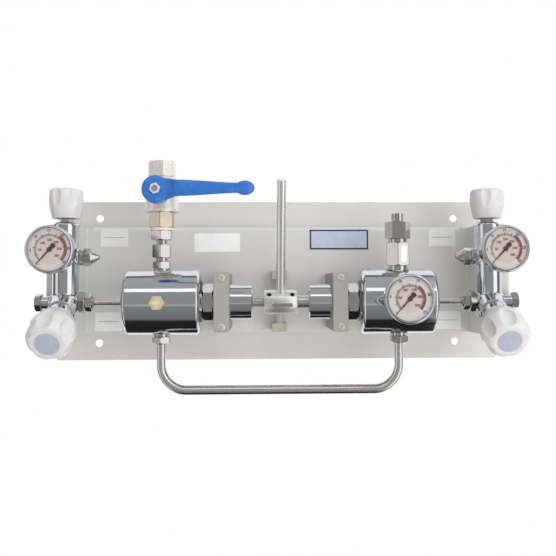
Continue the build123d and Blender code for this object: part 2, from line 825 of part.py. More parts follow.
def selector_hub():
    start = at(regulators_shift - hub_length / 2, gas_line_y, gas_line_z, (1, 0, 0))
    hub = rod(start, hub_diameter, hub_length)
    hub = chamfer(hub.edges().filter_by(GeomType.CIRCLE), 0.8)
    hub -= rod(start, shaft_diameter + 2 * thread_gap, hub_length)
    hub -= rod(hub_place(lever_lean), lever_diameter + 2 * thread_gap, hub_diameter)
    for seat in grub_seats():
        hub -= rod(seat, grub_diameter + 2 * thread_gap, hub_diameter)
    return hub


def selector_lever():
    """A round bar screwed into the hub, its tip slightly rounded."""
    radius = lever_diameter / 2
    start = shaft_diameter / 2
    return turned(hub_place(lever_lean), (0, start + 0.3), (radius, start + 0.3),
                  (radius, lever_reach, lever_tip_rounding), (0, lever_reach))


def selector_grub_screws():
    pieces = []
    for seat in grub_seats():
        start = shaft_diameter / 2
        length = hub_diameter / 2 - start - 1.2
        screw = rod(seat, grub_diameter, length, start)
        pieces.append(screw - hexagon(seat, 2.5, 2.5, start + length - 2))
    return pieces


def selector_shaft():
    """Screwed end on the left, hub seat in the middle, plain collar on the right."""
    left_end = centre_x("left", bonnet_inner_x + shaft_overlap)
    right_end = centre_x("right", bonnet_inner_x + shaft_overlap)
    hub_end = regulators_shift + hub_length / 2
    shaft = rod(at(left_end, gas_line_y, gas_line_z, (1, 0, 0)), shaft_diameter, hub_end - left_end)
    return shaft + rod(at(hub_end, gas_line_y, gas_line_z, (1, 0, 0)), shaft_collar_diameter, right_end - hub_end)


def selector_rest():
    """Two feet on the panel with a round bar welded between them, behind the hub."""
    bar_y = -raised_depth - rest_foot_reach + rest_bar_diameter / 2 + rest_bar_inset
    bar_length = rest_height - 2 * rest_foot_height
    rest = rod(at(regulators_shift, bar_y, rest_centre_z - bar_length / 2), rest_bar_diameter, bar_length)
    for end in (-1, 1):
        foot = Pos(regulators_shift, -raised_depth, rest_foot_z(end)) * Box(
            rest_foot_width, rest_foot_reach, rest_foot_height, align=(Align.CENTER, Align.MAX, Align.CENTER))
        rest += chamfer(foot.edges().filter_by(Axis.Y), 0.6)
        rest -= screw_hole(regulators_shift, -raised_depth, rest_foot_z(end) - end * rest_screw_inset)
    return rest


def loop_tube():
    """The tube that joins the two regulators' low-pressure sides, open at both ends."""
    top_z = gas_line_z - seat_distance - loop_fitting_length + tube_socket - 1
    left = centre_x("left", port_x)
    right = centre_x("right", port_x)
    route = FilletPolyline((left, gas_line_y, top_z), (left, gas_line_y, loop_bottom_z),
                           (right, gas_line_y, loop_bottom_z), (right, gas_line_y, top_z), radius=loop_bend_radius)
    start = at(left, gas_line_y, top_z, (0, 0, -1))
    outside = sweep(start * Circle(loop_tube_diameter / 2), route)
    inside = sweep(start * Circle(loop_tube_diameter / 2 - tube_wall), route)
    return outside - inside


def loop_fittings():
    """The thin collared fitting between each regulator and the loop tube's nut."""
    pieces = []
    for side in SIDES:
        seat = seat_on_regulator(side, (0, 0, -1))
        fitting = rod(seat, loop_seat_diameter, loop_fitting_length)
        fitting = chamfer(fitting.edges().filter_by(GeomType.CIRCLE), 0.6)
        fitting += rod(seat, spigot_diameter, spigot_length, -spigot_length)
        socket = loop_tube_diameter + 2 * thread_gap
        pieces.append(fitting - rod(seat, socket, tube_socket, loop_fitting_length - tube_socket + 1))
    return pieces


def front_plug():
    seat = seat_on_regulator("left", FRONT, distance=plug_seat_distance)
    plug = hexagon(seat, plug_flats, plug_length)
    return plug + rod(seat, spigot_diameter, spigot_length, -spigot_length)


def outlet_levels():
    """Heights of the outlet fittings' faces above the regulator's top seat, from the bottom up."""
    lengths = [adaptor_collar_length, adaptor_hex_length, adaptor_neck_length, union_nut_length, top_neck_length,
               top_hex_length, ring_thickness]
    levels = [0]
    for length in lengths:
        levels.append(levels[-1] + length)
    return levels


def outlet_adaptors():
    """Lower fitting screwed into the regulator and upper one screwed into the ball valve."""
    seat = seat_on_regulator("left", (0, 0, 1), 30)
    collar, lower_hex, neck, union, top_neck, top_hex, ring, valve = outlet_levels()
    lower = rod(seat, adaptor_collar_diameter, adaptor_collar_length)
    lower = chamfer(lower.edges().filter_by(GeomType.CIRCLE), 0.6)
    lower += hexagon(seat, adaptor_hex_flats, adaptor_hex_length, lower_hex)
    lower += rod(seat, adaptor_neck_diameter, adaptor_neck_length, neck)
    lower += rod(seat, union_spigot_diameter, union_nut_length / 2, union)
    lower += rod(seat, spigot_diameter, spigot_length, -spigot_length)
    upper = rod(seat, union_spigot_diameter, union_nut_length / 2 - part_gap, union + union_nut_length / 2 + part_gap)
    upper += rod(seat, top_neck_diameter, top_neck_length, top_neck)
    upper += hexagon(seat, top_hex_flats, top_hex_length, top_hex)
    thread = valve_thread_diameter - 2 * thread_gap
    upper += rod(seat, thread, ring_thickness + valve_thread_depth - 3, ring)
    upper -= rod(seat, 6, 60, union + union_nut_length / 2)
    return [lower, upper]


def union_nut():
    seat = seat_on_regulator("left", (0, 0, 1), 30)
    start = outlet_levels()[3]
    nut = hexagon(seat, union_nut_flats, union_nut_length, start)
    return nut - rod(seat, union_spigot_diameter + 2 * thread_gap, union_nut_length, start)


def sealing_ring():
    seat = seat_on_regulator("left", (0, 0, 1))
    start = outlet_levels()[6]
    ring = rod(seat, ring_diameter, ring_thickness, start)
    ring = chamfer(ring.edges().filter_by(GeomType.CIRCLE), 0.5)
    return ring - rod(seat, valve_thread_diameter, ring_thickness, start)


def valve_axis(height=0, turn=0):
    """A place on the ball valve's pipe axis, above its lower face."""
    seat = seat_on_regulator("left", (0, 0, 1), turn)
    return seat * Pos(0, 0, outlet_levels()[7] + height)


def ball_height():
    return valve_hex_length + (valve_flange_length + valve_barrel_length) / 2


def stem_axis(distance=0):
    """A place on the stem's axis, local Z pointing to the front, local X to the right."""
    centre = valve_axis(ball_height()).position
    return at(centre.X, centre.Y, centre.Z, FRONT) * Pos(0, 0, distance)


def seat_opening():
    """Distance from the ball's centre to where the seat rings touch it."""
    return sqrt((ball_diameter / 2) ** 2 - (valve_port_diameter / 2 + 1.5) ** 2)


def ball_valve_body():
    """Lower hexagon, ring flange, barrel and stem boss, bored for the ball and its seats."""
    body = hexagon(valve_axis(turn=28), valve_hex_flats, valve_hex_length)
    body += turned(valve_axis(valve_hex_length), (0, 0), (valve_flange_diameter / 2, 0, 0.8),
                   (valve_flange_diameter / 2, valve_flange_length, 0.8), (0, valve_flange_length))
    body += turned(valve_axis(valve_hex_length + valve_flange_length), (0, -1),
                   (valve_barrel_diameter / 2, -1), (valve_barrel_diameter / 2, valve_barrel_length - 4, 6),
                   (valve_barrel_diameter / 2 - 4, valve_barrel_length, 1), (0, valve_barrel_length))
    body += turned(stem_axis(), (0, 0), (stem_boss_diameter / 2, 0), (stem_boss_diameter / 2, stem_boss_reach, 1),
                   (stem_gland_diameter / 2, stem_boss_reach), (stem_gland_diameter / 2, stem_gland_reach, 0.8),
                   (0, stem_gland_reach))
    body -= rod(valve_axis(), valve_thread_diameter, valve_thread_depth)
    body -= rod(valve_axis(), valve_port_diameter, ball_height())
    half = seat_opening() + seat_length()
    top = valve_hex_length + valve_flange_length + valve_barrel_length
    body -= rod(valve_axis(), ball_cavity_diameter, top - ball_height() + half, ball_height() - half)
    return body - rod(stem_axis(), stem_diameter + 2 * running_gap, stem_gland_reach)


def seat_length():
    return 4.0


def ball_valve_end():
    """The octagonal end, screwed into the barrel, with the delivery thread in its mouth."""
    base = valve_hex_length + valve_flange_length + valve_barrel_length
    end = hexagon(valve_axis(turn=12), valve_end_flats, valve_end_length, base, sides=8)
    shank = base - ball_height() - seat_opening() - seat_length()
    end += rod(valve_axis(base), ball_cavity_diameter - 2 * thread_gap, shank, -shank)
    end -= rod(valve_axis(base), valve_thread_diameter, valve_thread_depth, valve_end_length - valve_thread_depth)
    return end - rod(valve_axis(base), valve_port_diameter, valve_end_length + shank, -shank)


def ball_seats():
    """Two rings that hold the ball, hollowed to its sphere."""
    pieces = []
    centre = valve_axis(ball_height())
    for sign in (-1, 1):
        start = seat_opening() if sign > 0 else -seat_opening() - seat_length()
        ring = rod(centre, ball_cavity_diameter - 2 * thread_gap, seat_length(), start)
        ring -= rod(centre, valve_port_diameter, seat_length(), start)
        pieces.append(ring - centre * Sphere(ball_diameter / 2 + running_gap))
    return pieces


def ball():
    """Closed at rest: its bore lies across the pipe, along X."""
    centre = stem_axis()
    sphere = centre * Sphere(ball_diameter / 2)
    sphere -= centre * Rot(0, 90, 0) * Cylinder(valve_port_diameter / 2, ball_diameter)
    slot_depth = stem_tang_depth + part_gap
    slot = centre * Pos(0, 0, ball_diameter / 2 - slot_depth) * Box(
        stem_diameter * 2, stem_tang + 2 * thread_gap, 2 * slot_depth, align=MIN)
    return sphere - slot


def stem_flat(diameter, flats, start, length):
    """A round bar with two flats, which turns the lever with the stem."""
    bar = rod(stem_axis(), diameter, length, start)
    return bar & stem_axis() * Pos(0, 0, start) * Box(diameter + 1, flats, length, align=MIN)


def valve_stem():
    """Tang in the ball, round in the gland, flats in the lever and a thread for the nut."""
    start = ball_diameter / 2 + running_gap
    lever_front = handle_plane + handle_hub_thickness
    stem = rod(stem_axis(), stem_diameter, handle_plane - start, start)
    stem += stem_flat(stem_diameter, stem_flats, handle_plane, handle_hub_thickness - 0.5)
    stem += rod(stem_axis(), stem_thread_diameter, lever_front + handle_nut_length + 1 - start, start)
    tang = stem_axis() * Pos(0, 0, start - stem_tang_depth) * Box(stem_diameter * 0.8, stem_tang, 4, align=MIN)
    return stem + tang


def valve_lever():
    """A cranked, tapered handle: the overlap of its outline from the front and its outline from above."""
    hub = handle_hub_diameter / 2
    rise = handle_plane + handle_rise
    crank_end = handle_crank_start + handle_crank_length
    bulb_start = handle_length - handle_bulb_length
    above = FilletPolyline((-hub - 1, handle_plane), (handle_crank_start, handle_plane), (crank_end, rise),
                           (handle_length + 1, rise), (handle_length + 1, rise + handle_thickness),
                           (crank_end - 2, rise + handle_thickness),
                           (handle_crank_start - 2, handle_plane + handle_hub_thickness),
                           (-hub - 1, handle_plane + handle_hub_thickness),
                           radius=[0, 4, 5, 0, 0, 6, 3, 0], close=True)
    strip = Rot(90, 0, 0) * extrude(make_face(above), handle_hub_diameter / 2 + 2, both=True)
    root = handle_root_width / 2
    tip = handle_tip_width / 2
    front = Circle(hub)
    front += make_face(Polyline((0, root), (hub + 6, root), (bulb_start + 4, tip), (bulb_start + 4, -tip),
                                (hub + 6, -root), (0, -root), close=True))
    front += Pos(handle_length - handle_bulb_length / 2, 0) * Ellipse(handle_bulb_length / 2, handle_bulb_width / 2)
    lever = stem_axis() * (strip & drawn_out(front, rise + 2 * handle_thickness))
    lever += rod(stem_axis(handle_plane), 2 * hub, handle_skirt_depth, -handle_skirt_depth)
    inside = 2 * (hub - handle_skirt_wall)
    lever -= rod(stem_axis(handle_plane), inside, handle_skirt_depth, -handle_skirt_depth)
    return lever - stem_flat(stem_diameter + 2 * thread_gap, stem_flats + 2 * thread_gap, handle_plane - 1,
                             handle_hub_thickness + 2)


def lever_nut():
    seat = stem_axis(handle_plane + handle_hub_thickness) * Rot(0, 0, 15)
    nut = hexagon(seat, handle_nut_flats, handle_nut_length)
    return nut - rod(seat, stem_thread_diameter + 2 * thread_gap, handle_nut_length)


def relief_valve_body():
    """Neck, hexagon spring housing and collar, with the vent stub on top."""
    seat = seat_on_regulator("right", (0, 0, 1), 22)
    hex_top = relief_neck_length + relief_hex_length
    nut_top = hex_top + relief_collar_length + relief_nut_length
    body = rod(seat, relief_neck_diameter, relief_neck_length)
    body += hexagon(seat, relief_hex_flats, relief_hex_length, relief_neck_length)
    body += rod(seat, relief_collar_diameter, relief_collar_length, hex_top)
    shank_length = relief_nut_length + relief_shank_end
    body += rod(seat, relief_shank_diameter, shank_length, hex_top + relief_collar_length)
    body += rod(seat, relief_stub_diameter, relief_stub_length - relief_shank_end, nut_top + relief_shank_end)
    body += rod(seat, spigot_diameter, spigot_length, -spigot_length)
    top = nut_top + relief_stub_length
    return body - rod(seat, relief_bore, relief_stub_length + 6, top - relief_stub_length - 6)


def relief_nut():
    start = relief_neck_length + relief_hex_length + relief_collar_length
    seat = seat_on_regulator("right", (0, 0, 1))
    nut = hexagon(seat, relief_nut_flats, relief_nut_length, start)
    return nut - rod(seat, relief_shank_diameter + 2 * thread_gap, relief_nut_length, start)


def all_nodes():
    """Every piece by name; a list is a group of separate solids."""
    nodes = {"back_panel": back_panel(), "rear_screws": rear_screws()}
    for side in SIDES:
        nodes[f"valve_block_{side}"] = valve_block(side)
        nodes[f"purge_spindle_{side}"] = purge_spindle(side)
        nodes[f"purge_knob_{side}"] = purge_knob(side)
        nodes[f"isolation_spindle_{side}"] = isolation_spindle(side)
        nodes[f"isolation_knob_{side}"] = isolation_knob(side)
        nodes[f"regulator_body_{side}"] = regulator_body(side)
        nodes[f"neck_nut_{side}"] = neck_nut(side)
        nodes[f"bonnet_{side}"] = bonnet(side)
        nodes[f"clamp_saddle_{side}"] = clamp_saddle(side)
        nodes[f"clamp_cap_{side}"] = clamp_cap(side)
    nodes["inlet_adaptors"] = inlet_adaptors()
    nodes["inlet_caps"] = inlet_caps()
    nodes["purge_nozzles"] = purge_nozzles()
    nodes["outlet_lock_nuts"] = outlet_lock_nuts()
    nodes["purge_glands"] = purge_glands()
    nodes["isolation_glands"] = isolation_glands()
    nodes["inlet_tubes"] = inlet_tubes()
    nodes["tube_nuts"] = tube_nuts()
    for name in gauge_seats():
        nodes[f"gauge_case_{name}"] = gauge_case(name)
        nodes[f"gauge_pointer_{name}"] = gauge_pointer(name)
    nodes["gauge_dials"] = gauge_dials()
    nodes["gauge_windows"] = gauge_windows()
    nodes["clamp_screws"] = clamp_screws()
    nodes["thrust_pads"] = thrust_pads()
    nodes["selector_hub"] = selector_hub()
    nodes["selector_lever"] = selector_lever()
    nodes["selector_grub_screws"] = selector_grub_screws()
    nodes["selector_shaft"] = selector_shaft()
    nodes["selector_rest"] = selector_rest()
    nodes["loop_tube"] = loop_tube()
    nodes["loop_fittings"] = loop_fittings()
    nodes["front_plug"] = front_plug()
    nodes["outlet_adaptors"] = outlet_adaptors()
    nodes["union_nut"] = union_nut()
    nodes["sealing_ring"] = sealing_ring()
    nodes["ball_valve_body"] = ball_valve_body()
    nodes["ball_valve_end"] = ball_valve_end()
    nodes["ball_seats"] = ball_seats()
    nodes["ball"] = ball()
    nodes["valve_stem"] = valve_stem()
    nodes["valve_lever"] = valve_lever()
    nodes["lever_nut"] = lever_nut()
    nodes["relief_valve_body"] = relief_valve_body()
    nodes["relief_nut"] = relief_nut()
    return nodes


os.makedirs("parts", exist_ok=True)
for node, shape in all_nodes().items():
    solids = [solid for piece in (shape if isinstance(shape, list) else [shape]) for solid in piece.solids()]
    whole = Compound(children=solids) if len(solids) > 1 else solids[0]
    whole.label = node
    export_step(whole, os.path.join("parts", node + ".step"))
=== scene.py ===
# %% [markdown]
# # Gas manifold panel
# A wall panel that feeds one gas line from two high-pressure sources. The CAD model gives every piece its
# place. This script gives each piece the shape of its edges, its finish and its light.
# Lengths are millimetres, in the CAD model's frame: X to the right, Y into the wall, Z up. The factor MM
# turns them into Blender's metres.

# %% Start and load the frame
import json
from math import cos, pi, radians, sin, tan

import bmesh
import bpy
import numpy as np
from mathutils import Matrix, Vector

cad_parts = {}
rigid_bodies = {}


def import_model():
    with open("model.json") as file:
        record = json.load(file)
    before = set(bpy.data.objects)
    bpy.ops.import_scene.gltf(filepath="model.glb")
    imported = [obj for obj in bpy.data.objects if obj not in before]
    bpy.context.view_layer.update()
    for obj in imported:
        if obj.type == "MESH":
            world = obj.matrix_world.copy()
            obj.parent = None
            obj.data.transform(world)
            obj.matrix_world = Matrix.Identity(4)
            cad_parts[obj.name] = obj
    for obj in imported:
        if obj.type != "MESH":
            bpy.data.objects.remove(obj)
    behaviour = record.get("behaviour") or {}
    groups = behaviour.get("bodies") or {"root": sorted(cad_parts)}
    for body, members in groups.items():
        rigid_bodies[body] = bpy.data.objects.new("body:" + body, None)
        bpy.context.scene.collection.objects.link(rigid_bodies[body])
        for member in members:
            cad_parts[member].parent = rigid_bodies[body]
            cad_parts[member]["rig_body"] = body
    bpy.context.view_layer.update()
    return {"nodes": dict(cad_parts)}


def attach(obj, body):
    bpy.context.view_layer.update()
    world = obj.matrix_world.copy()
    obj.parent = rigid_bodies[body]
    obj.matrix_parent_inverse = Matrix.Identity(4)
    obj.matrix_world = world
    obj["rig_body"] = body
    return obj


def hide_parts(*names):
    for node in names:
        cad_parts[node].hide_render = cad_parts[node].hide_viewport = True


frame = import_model()
MM = 0.001

# %% Places that several pieces share
SIDES = {"left": -1, "right": 1}
FRONT = (0, -1, 0)
UP = (0, 0, 1)
DOWN = (0, 0, -1)
gas_y = -91.7
gas_z = -24.0
block_x = {"left": -232.2, "right": 229.2}
block_port = 15.2
middle_x = 0.2
port_x = {"left": middle_x - 129.0, "right": middle_x + 129.0}
seat_distance = 33.0
stem_z = 92.75
print("gas line at Y", gas_y, "Z", gas_z)

# %% [markdown]
# ## Shapes as arrays
# Nearly every piece here is turned on a lathe or cut from hexagon bar. Such a piece is a stack of rings, so
# one pair of functions makes them all: the first puts rings of points in place, the second joins neighbouring
# rings with four-sided faces. Working on whole arrays keeps the script short and the surfaces exact.

# %% Place a piece


def place(x, y, z, direction=UP, turn=0.0):
    """A place: its origin and a 3 by 3 array whose rows are the local X, Y and Z directions.
    Local Z is the direction; local X is world X, or world Z where the direction is along world X."""
    ahead = np.array(direction, float)
    ahead /= np.linalg.norm(ahead)
    across = np.array((0.0, 0.0, 1.0) if abs(ahead[0]) > 0.9 else (1.0, 0.0, 0.0))
    across -= ahead * (across @ ahead)
    beside = np.cross(ahead, across)
    turned_x = across * cos(radians(turn)) + beside * sin(radians(turn))
    turned_y = beside * cos(radians(turn)) - across * sin(radians(turn))
    return np.array((x, y, z), float), np.array((turned_x, turned_y, ahead))


def on_gas_line(x, sign=1, turn=0.0):
    """A place on the gas line at x that looks to the right, or to the left where the sign is -1."""
    return place(x, gas_y, gas_z, (sign, 0, 0), turn)


def shifted(where, z):
    """The same place moved along its own Z."""
    origin, axes = where
    return origin + z * axes[2], axes


def put(where, local):
    """Points given along a place's own directions, as points of the model."""
    origin, axes = where
    return origin + local @ axes


# %% Rings of points


def rings(where, radius, height, angles):
    """Points of a stack of rings, (rows, columns, 3): x is r cos a, y is r sin a, z is h, then put in place.
    radius and height have one row for each ring, and one column or as many as there are angles."""
    radius, height = np.broadcast_arrays(radius, height, np.zeros((1, len(angles))))[:2]
    return put(where, np.stack([radius * np.cos(angles), radius * np.sin(angles), height], axis=-1))


def around(columns):
    """The angles of evenly spaced columns, once round."""
    return np.arange(columns) * (2 * pi / columns)


# %% Rings joined to a surface


def closed_shell(points):
    """A shell from rings, with a flat face on the first and the last ring: its points, the corners of its
    faces in one row, and how many corners each face has."""
    rows, columns = points.shape[:2]
    index = np.arange(rows * columns).reshape(rows, columns)
    beside = np.roll(index, -1, axis=1)
    sides = np.stack([index[:-1], beside[:-1], beside[1:], index[1:]], axis=-1)
    corners = np.concatenate([sides.ravel(), index[0][::-1], index[-1]])
    sizes = np.concatenate([np.full(sides[..., 0].size, 4), [columns, columns]])
    return points.reshape(-1, 3), corners, sizes


def looped_shell(points):
    """A shell from rings whose last ring joins the first, as on a bored piece."""
    rows, columns = points.shape[:2]
    index = np.arange(rows * columns).reshape(rows, columns)
    beside = np.roll(index, -1, axis=1)
    sides = np.stack([index, beside, np.roll(beside, -1, axis=0), np.roll(index, -1, axis=0)], axis=-1)
    return points.reshape(-1, 3), sides.ravel(), np.full(sides[..., 0].size, 4)


# %% Objects


def new_object(name, data):
    """An object in the scene that shows the data."""
    thing = bpy.data.objects.new(name, data)
    bpy.context.scene.collection.objects.link(thing)
    return thing


def dress(mesh, finish):
    """Gives the mesh this finish alone."""
    mesh.materials.clear()
    mesh.materials.append(finish)


def settle(piece, body, nodes):
    """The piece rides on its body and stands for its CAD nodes."""
    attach(piece, body)
    if nodes:
        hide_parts(*nodes)
    print(piece.name, "has", len(piece.data.polygons), "faces and rides on", body)


# %% Shells made one piece


def make_piece(name, shells, finish, body, nodes=(), sharp=32):
    """One object from shells: their arrays are joined end to end and given to the mesh in whole columns.
    Edges that turn by more than the sharp angle stay crisp."""
    points = np.concatenate([shell[0] for shell in shells]) * MM
    starts = np.cumsum([0] + [len(shell[0]) for shell in shells[:-1]])
    corners = np.concatenate([shell[1] + start for shell, start in zip(shells, starts)])
    sizes = np.concatenate([shell[2] for shell in shells])
    mesh = bpy.data.meshes.new(name)
    mesh.vertices.add(len(points))
    mesh.vertices.foreach_set("co", points.astype(np.float32).ravel())
    mesh.loops.add(len(corners))
    mesh.loops.foreach_set("vertex_index", corners.astype(np.int32))
    mesh.polygons.add(len(sizes))
    mesh.polygons.foreach_set("loop_start", (np.cumsum(sizes) - sizes).astype(np.int32))
    mesh.update(calc_edges=True)
    mesh.validate()
    mesh.shade_smooth()
    mesh.set_sharp_from_angle(angle=radians(sharp))
    dress(mesh, finish)
    settle(new_object(name, mesh), body, nodes)


# %% [markdown]
# ## Finishes
# A finish is judged by how light leaves it: bright chrome mirrors the room, satin metal blurs it, paint
# scatters it. Each material below starts from the real process, and its pattern from a real size. One small
# function adds a node, so that each material reads as a list of what it is made of.

# %% Colours and nodes


def colour(code):
    """Linear red, green, blue and 1 from an sRGB hex code: c / 12.92 below 0.04045, else
    ((c + 0.055) / 1.055) to the power 2.4."""
    values = [int(code[i:i + 2], 16) / 255 for i in (1, 3, 5)]
    return tuple(c / 12.92 if c <= 0.04045 else ((c + 0.055) / 1.055) ** 2.4 for c in values) + (1.0,)


def grey(value):
    """A grey of that linear value."""
    return (value, value, value, 1.0)


def add(tree, kind, settings=(), inputs=()):
    """Adds one node. settings are its own choices; inputs are values, or output sockets to link."""
    node = tree.nodes.new(kind)
    for name, value in dict(settings).items():
        setattr(node, name, value)
    for name, value in dict(inputs).items():
        socket = node.inputs[name]
        if isinstance(value, bpy.types.NodeSocket):
            tree.links.new(value, socket)
        else:
            socket.default_value = value
    return node


# %% Parts of a material


def new_material(name):
    """An empty node material with its node tree, and the Object coordinates of the piece it lies on."""
    material = bpy.data.materials.new(name)
    material.use_nodes = True
    material.node_tree.nodes.clear()
    return material, material.node_tree, add(material.node_tree, "ShaderNodeTexCoord").outputs["Object"]


def ramp(tree, factor, stops, smooth="LINEAR"):
    """A Color Ramp whose stops are (position, colour)."""
    node = add(tree, "ShaderNodeValToRGB", inputs={"Fac": factor})
    node.color_ramp.interpolation = smooth
    elements = node.color_ramp.elements
    elements[0].position, elements[0].color = stops[0]
    elements[1].position, elements[1].color = stops[-1]
    for position, value in stops[1:-1]:
        elements.new(position).color = value
    return node.outputs["Color"]


def noise(tree, spot, size, detail=2.0):
    """A noise whose patches are about that size in millimetres."""
    inputs = {"Vector": spot, "Scale": 1 / (size * MM), "Detail": detail}
    return add(tree, "ShaderNodeTexNoise", inputs=inputs).outputs["Fac"]


def between(tree, pattern, low, high, start=0.3, end=0.7):
    """One colour where the pattern is under the start, another where it is over the end."""
    return ramp(tree, pattern, [(start, low), (end, high)])


def lifted(tree, pattern, strength, depth=0.1):
    """The direction of a surface that a pattern lifts by up to the depth in millimetres."""
    bump = {"Height": pattern, "Strength": strength, "Distance": depth * MM}
    return add(tree, "ShaderNodeBump", inputs=bump).outputs["Normal"]


def show(material, tree, shader):
    """Makes the shader what the material shows."""
    add(tree, "ShaderNodeOutputMaterial", inputs={"Surface": shader.outputs[0]})
    print("finish:", material.name)
    return material


def shaded(material, tree, base, roughness, normal, **more):
    """The material with one Principled shader. more holds other sockets, their names with _ for spaces."""
    inputs = {"Base Color": base, "Roughness": roughness, "Normal": normal}
    inputs.update({name.replace("_", " "): value for name, value in more.items()})
    return show(material, tree, add(tree, "ShaderNodeBsdfPrincipled", inputs=inputs))


# %% [markdown]
# ### Powder-coated sheet
# The panel is folded steel with a baked light grey powder coat. Powder melts into a skin with a fine orange
# peel, so highlights are soft and a little broken. Two noises do this: one with patches of about 70 mm
# shifts the tone by a few percent, and one of about 0.8 mm lifts the surface.

# %% Powder coat
cloud_size = 1000 / 14
powder_coat, tree, spot = new_material("powder_coated_steel_light_grey")
cloud = noise(tree, spot, cloud_size, 3.0)
tone = between(tree, cloud, colour("#CCCBC9"), colour("#D3D2D1"))
gloss = between(tree, cloud, grey(0.36), grey(0.44))
peel = lifted(tree, noise(tree, spot, 0.8), 0.10)
shaded(powder_coat, tree, tone, gloss, peel, IOR=1.5)

# %% [markdown]
# ### Chrome and bare metals
# The blocks, regulators and fittings are brass with bright chrome: an almost perfect mirror, with a slight
# waviness from polishing that bends reflections. Rougher metals differ in colour and in how they were made:
# facing on a lathe leaves rings, milling leaves marks across, tumbling and blasting leave an even blur.

# %% Bright chrome
chrome, tree, spot = new_material("bright_chrome_on_brass")
gloss = between(tree, noise(tree, spot, 5, 3.0), grey(0.05), grey(0.13), start=0.35)
wave = lifted(tree, noise(tree, spot, 14, 1.0), 0.12, depth=0.6)
shaded(chrome, tree, colour("#DADCDF"), gloss, wave, Metallic=1.0)

# %% Polished nuts
# Hexagon fittings are chromed too, but over a turned surface that was only lightly polished, so the mirror is
# a little greyer, with a fine grain of about 0.4 mm.
nut_chrome, tree, spot = new_material("chrome_on_turned_hexagon")
gloss = between(tree, noise(tree, spot, 3, 3.0), grey(0.07), grey(0.15))
grain = lifted(tree, noise(tree, spot, 0.4, 1.0), 0.08)
shaded(nut_chrome, tree, colour("#CBC9C5"), gloss, grain, Metallic=1.0)


# %% Bare and plated metals


def satin_metal(name, light, dark, roughness, grain, stretch=(1, 1, 1), strength=0.03, metallic=1.0):
    """A metal whose tone and roughness follow a grain of that size, which may be drawn out along X, Y or Z.
    Where the finish scatters part of the light, metallic is under 1."""
    material, tree, spot = new_material(name)
    drawn = add(tree, "ShaderNodeMapping", inputs={"Vector": spot, "Scale": stretch})
    pattern = noise(tree, drawn.outputs[0], grain, 4.0)
    tone = between(tree, pattern, colour(dark), colour(light))
    blur = between(tree, pattern, grey(roughness - 0.05), grey(roughness + 0.07))
    return shaded(material, tree, tone, blur, lifted(tree, pattern, strength), Metallic=metallic)


# Drawn stainless tube: smooth, with slow soft changes and a slightly warm grey.
drawn_stainless = satin_metal("drawn_stainless_steel", "#E6E4E0", "#E1DFDB", 0.22, 5.0, strength=0.01)
# Turned stainless shaft and spindles: a fine grain gives a brighter satin.
turned_stainless = satin_metal("turned_stainless_steel", "#E6E6E4", "#DEDEDC", 0.26, 0.6)
# Ground lever rod: brighter than the shaft, with a fine grain of about 0.6 mm.
ground_stainless = satin_metal("ground_stainless_steel", "#F4F4F1", "#ECECE9", 0.3, 0.6, metallic=0.85)
# Bead-blasted hub: soft and even, lighter above and darker below, where it faces the floor.
blasted_steel = satin_metal("bead_blasted_steel", "#F0F0EE", "#E8E8E6", 0.36, 0.5, strength=0.05,
                            metallic=0.88)
# Milled aluminium clamps: matt, with faint cutter marks that run up the block.
milled_aluminium = satin_metal("milled_aluminium", "#A4A29F", "#9C9A97", 0.6, 2.0, (4, 1, 0.3), 0.08, 0.15)
# The foot of the forged brass valve: the barrel's nickel, painted darker and warmer as shade under the ring
# flange.
nickel_with_painted_shade = satin_metal("nickel_with_painted_shade_on_brass", "#D6CCB6", "#CBC0A9", 0.26, 1.2, strength=0.04)
# The turned barrel of that valve: brighter and greyer nickel.
bright_nickel = satin_metal("bright_nickel_on_brass", "#F0EDE4", "#E6E3DA", 0.3, 1.2, strength=0.04,
                            metallic=0.5)
# Zinc-plated steel screws: faint yellow, tumbled blur.
plated_zinc = satin_metal("zinc_plated_steel", "#E2DED0", "#D4D0C0", 0.4, 0.8, strength=0.05, metallic=0.7)

# %% Lathe-faced metals
groove_spacing = 0.3


def faced_metal(name, light, dark, x, z, metallic):
    """A metal faced on a lathe: fine grooves run round the axis along Y at x, z. Each groove spreads light
    along the radius. In a wave of rings, the distance between rings is 2 pi / 20 over the scale."""
    material, tree, spot = new_material(name)
    centred = add(tree, "ShaderNodeMapping", inputs={"Vector": spot, "Location": (-x * MM, 0.0, -z * MM)})
    rounds = add(tree, "ShaderNodeTexWave", {"wave_type": "RINGS", "rings_direction": "Y"}, {
        "Vector": centred.outputs[0], "Scale": 2 * pi / 20 / (groove_spacing * MM)})
    tone = between(tree, noise(tree, spot, 1.5), colour(dark), colour(light))
    grooves = lifted(tree, rounds.outputs["Fac"], 0.8)
    return shaded(material, tree, tone, 0.28, grooves, Metallic=metallic)


# Thin nickel over brass on the plug: warm, pale gold.
brass_nickel = faced_metal("thin_nickel_on_brass", "#FAEBC4", "#EEDDB2", port_x["left"], gas_z, 0.7)
# Bright nickel on the nut that holds the lever: near white.
nickel_nut = faced_metal("bright_nickel_on_steel", "#F6F6F4", "#EAEAE8", port_x["left"], stem_z, 0.5)

# %% [markdown]
# ### Plastics, paint and print
# The knobs are white moulded plastic, which is never fully matt: light sinks in a little and comes back soft.
# The lever has a thick dipped vinyl coat with rounded corners. Dials and labels are print on thin sheet.

# %% Knob plastic
knob_plastic, tree, spot = new_material("moulded_white_thermoplastic")
tone = between(tree, noise(tree, spot, 9, 3.0), colour("#CFCECF"), colour("#D7D6D8"))
spark = lifted(tree, noise(tree, spot, 0.6, 1.0), 0.08)
shaded(knob_plastic, tree, tone, 0.24, spark, IOR=1.49, Subsurface_Weight=0.15, Subsurface_Scale=1 * MM)


# %% Coats and prints


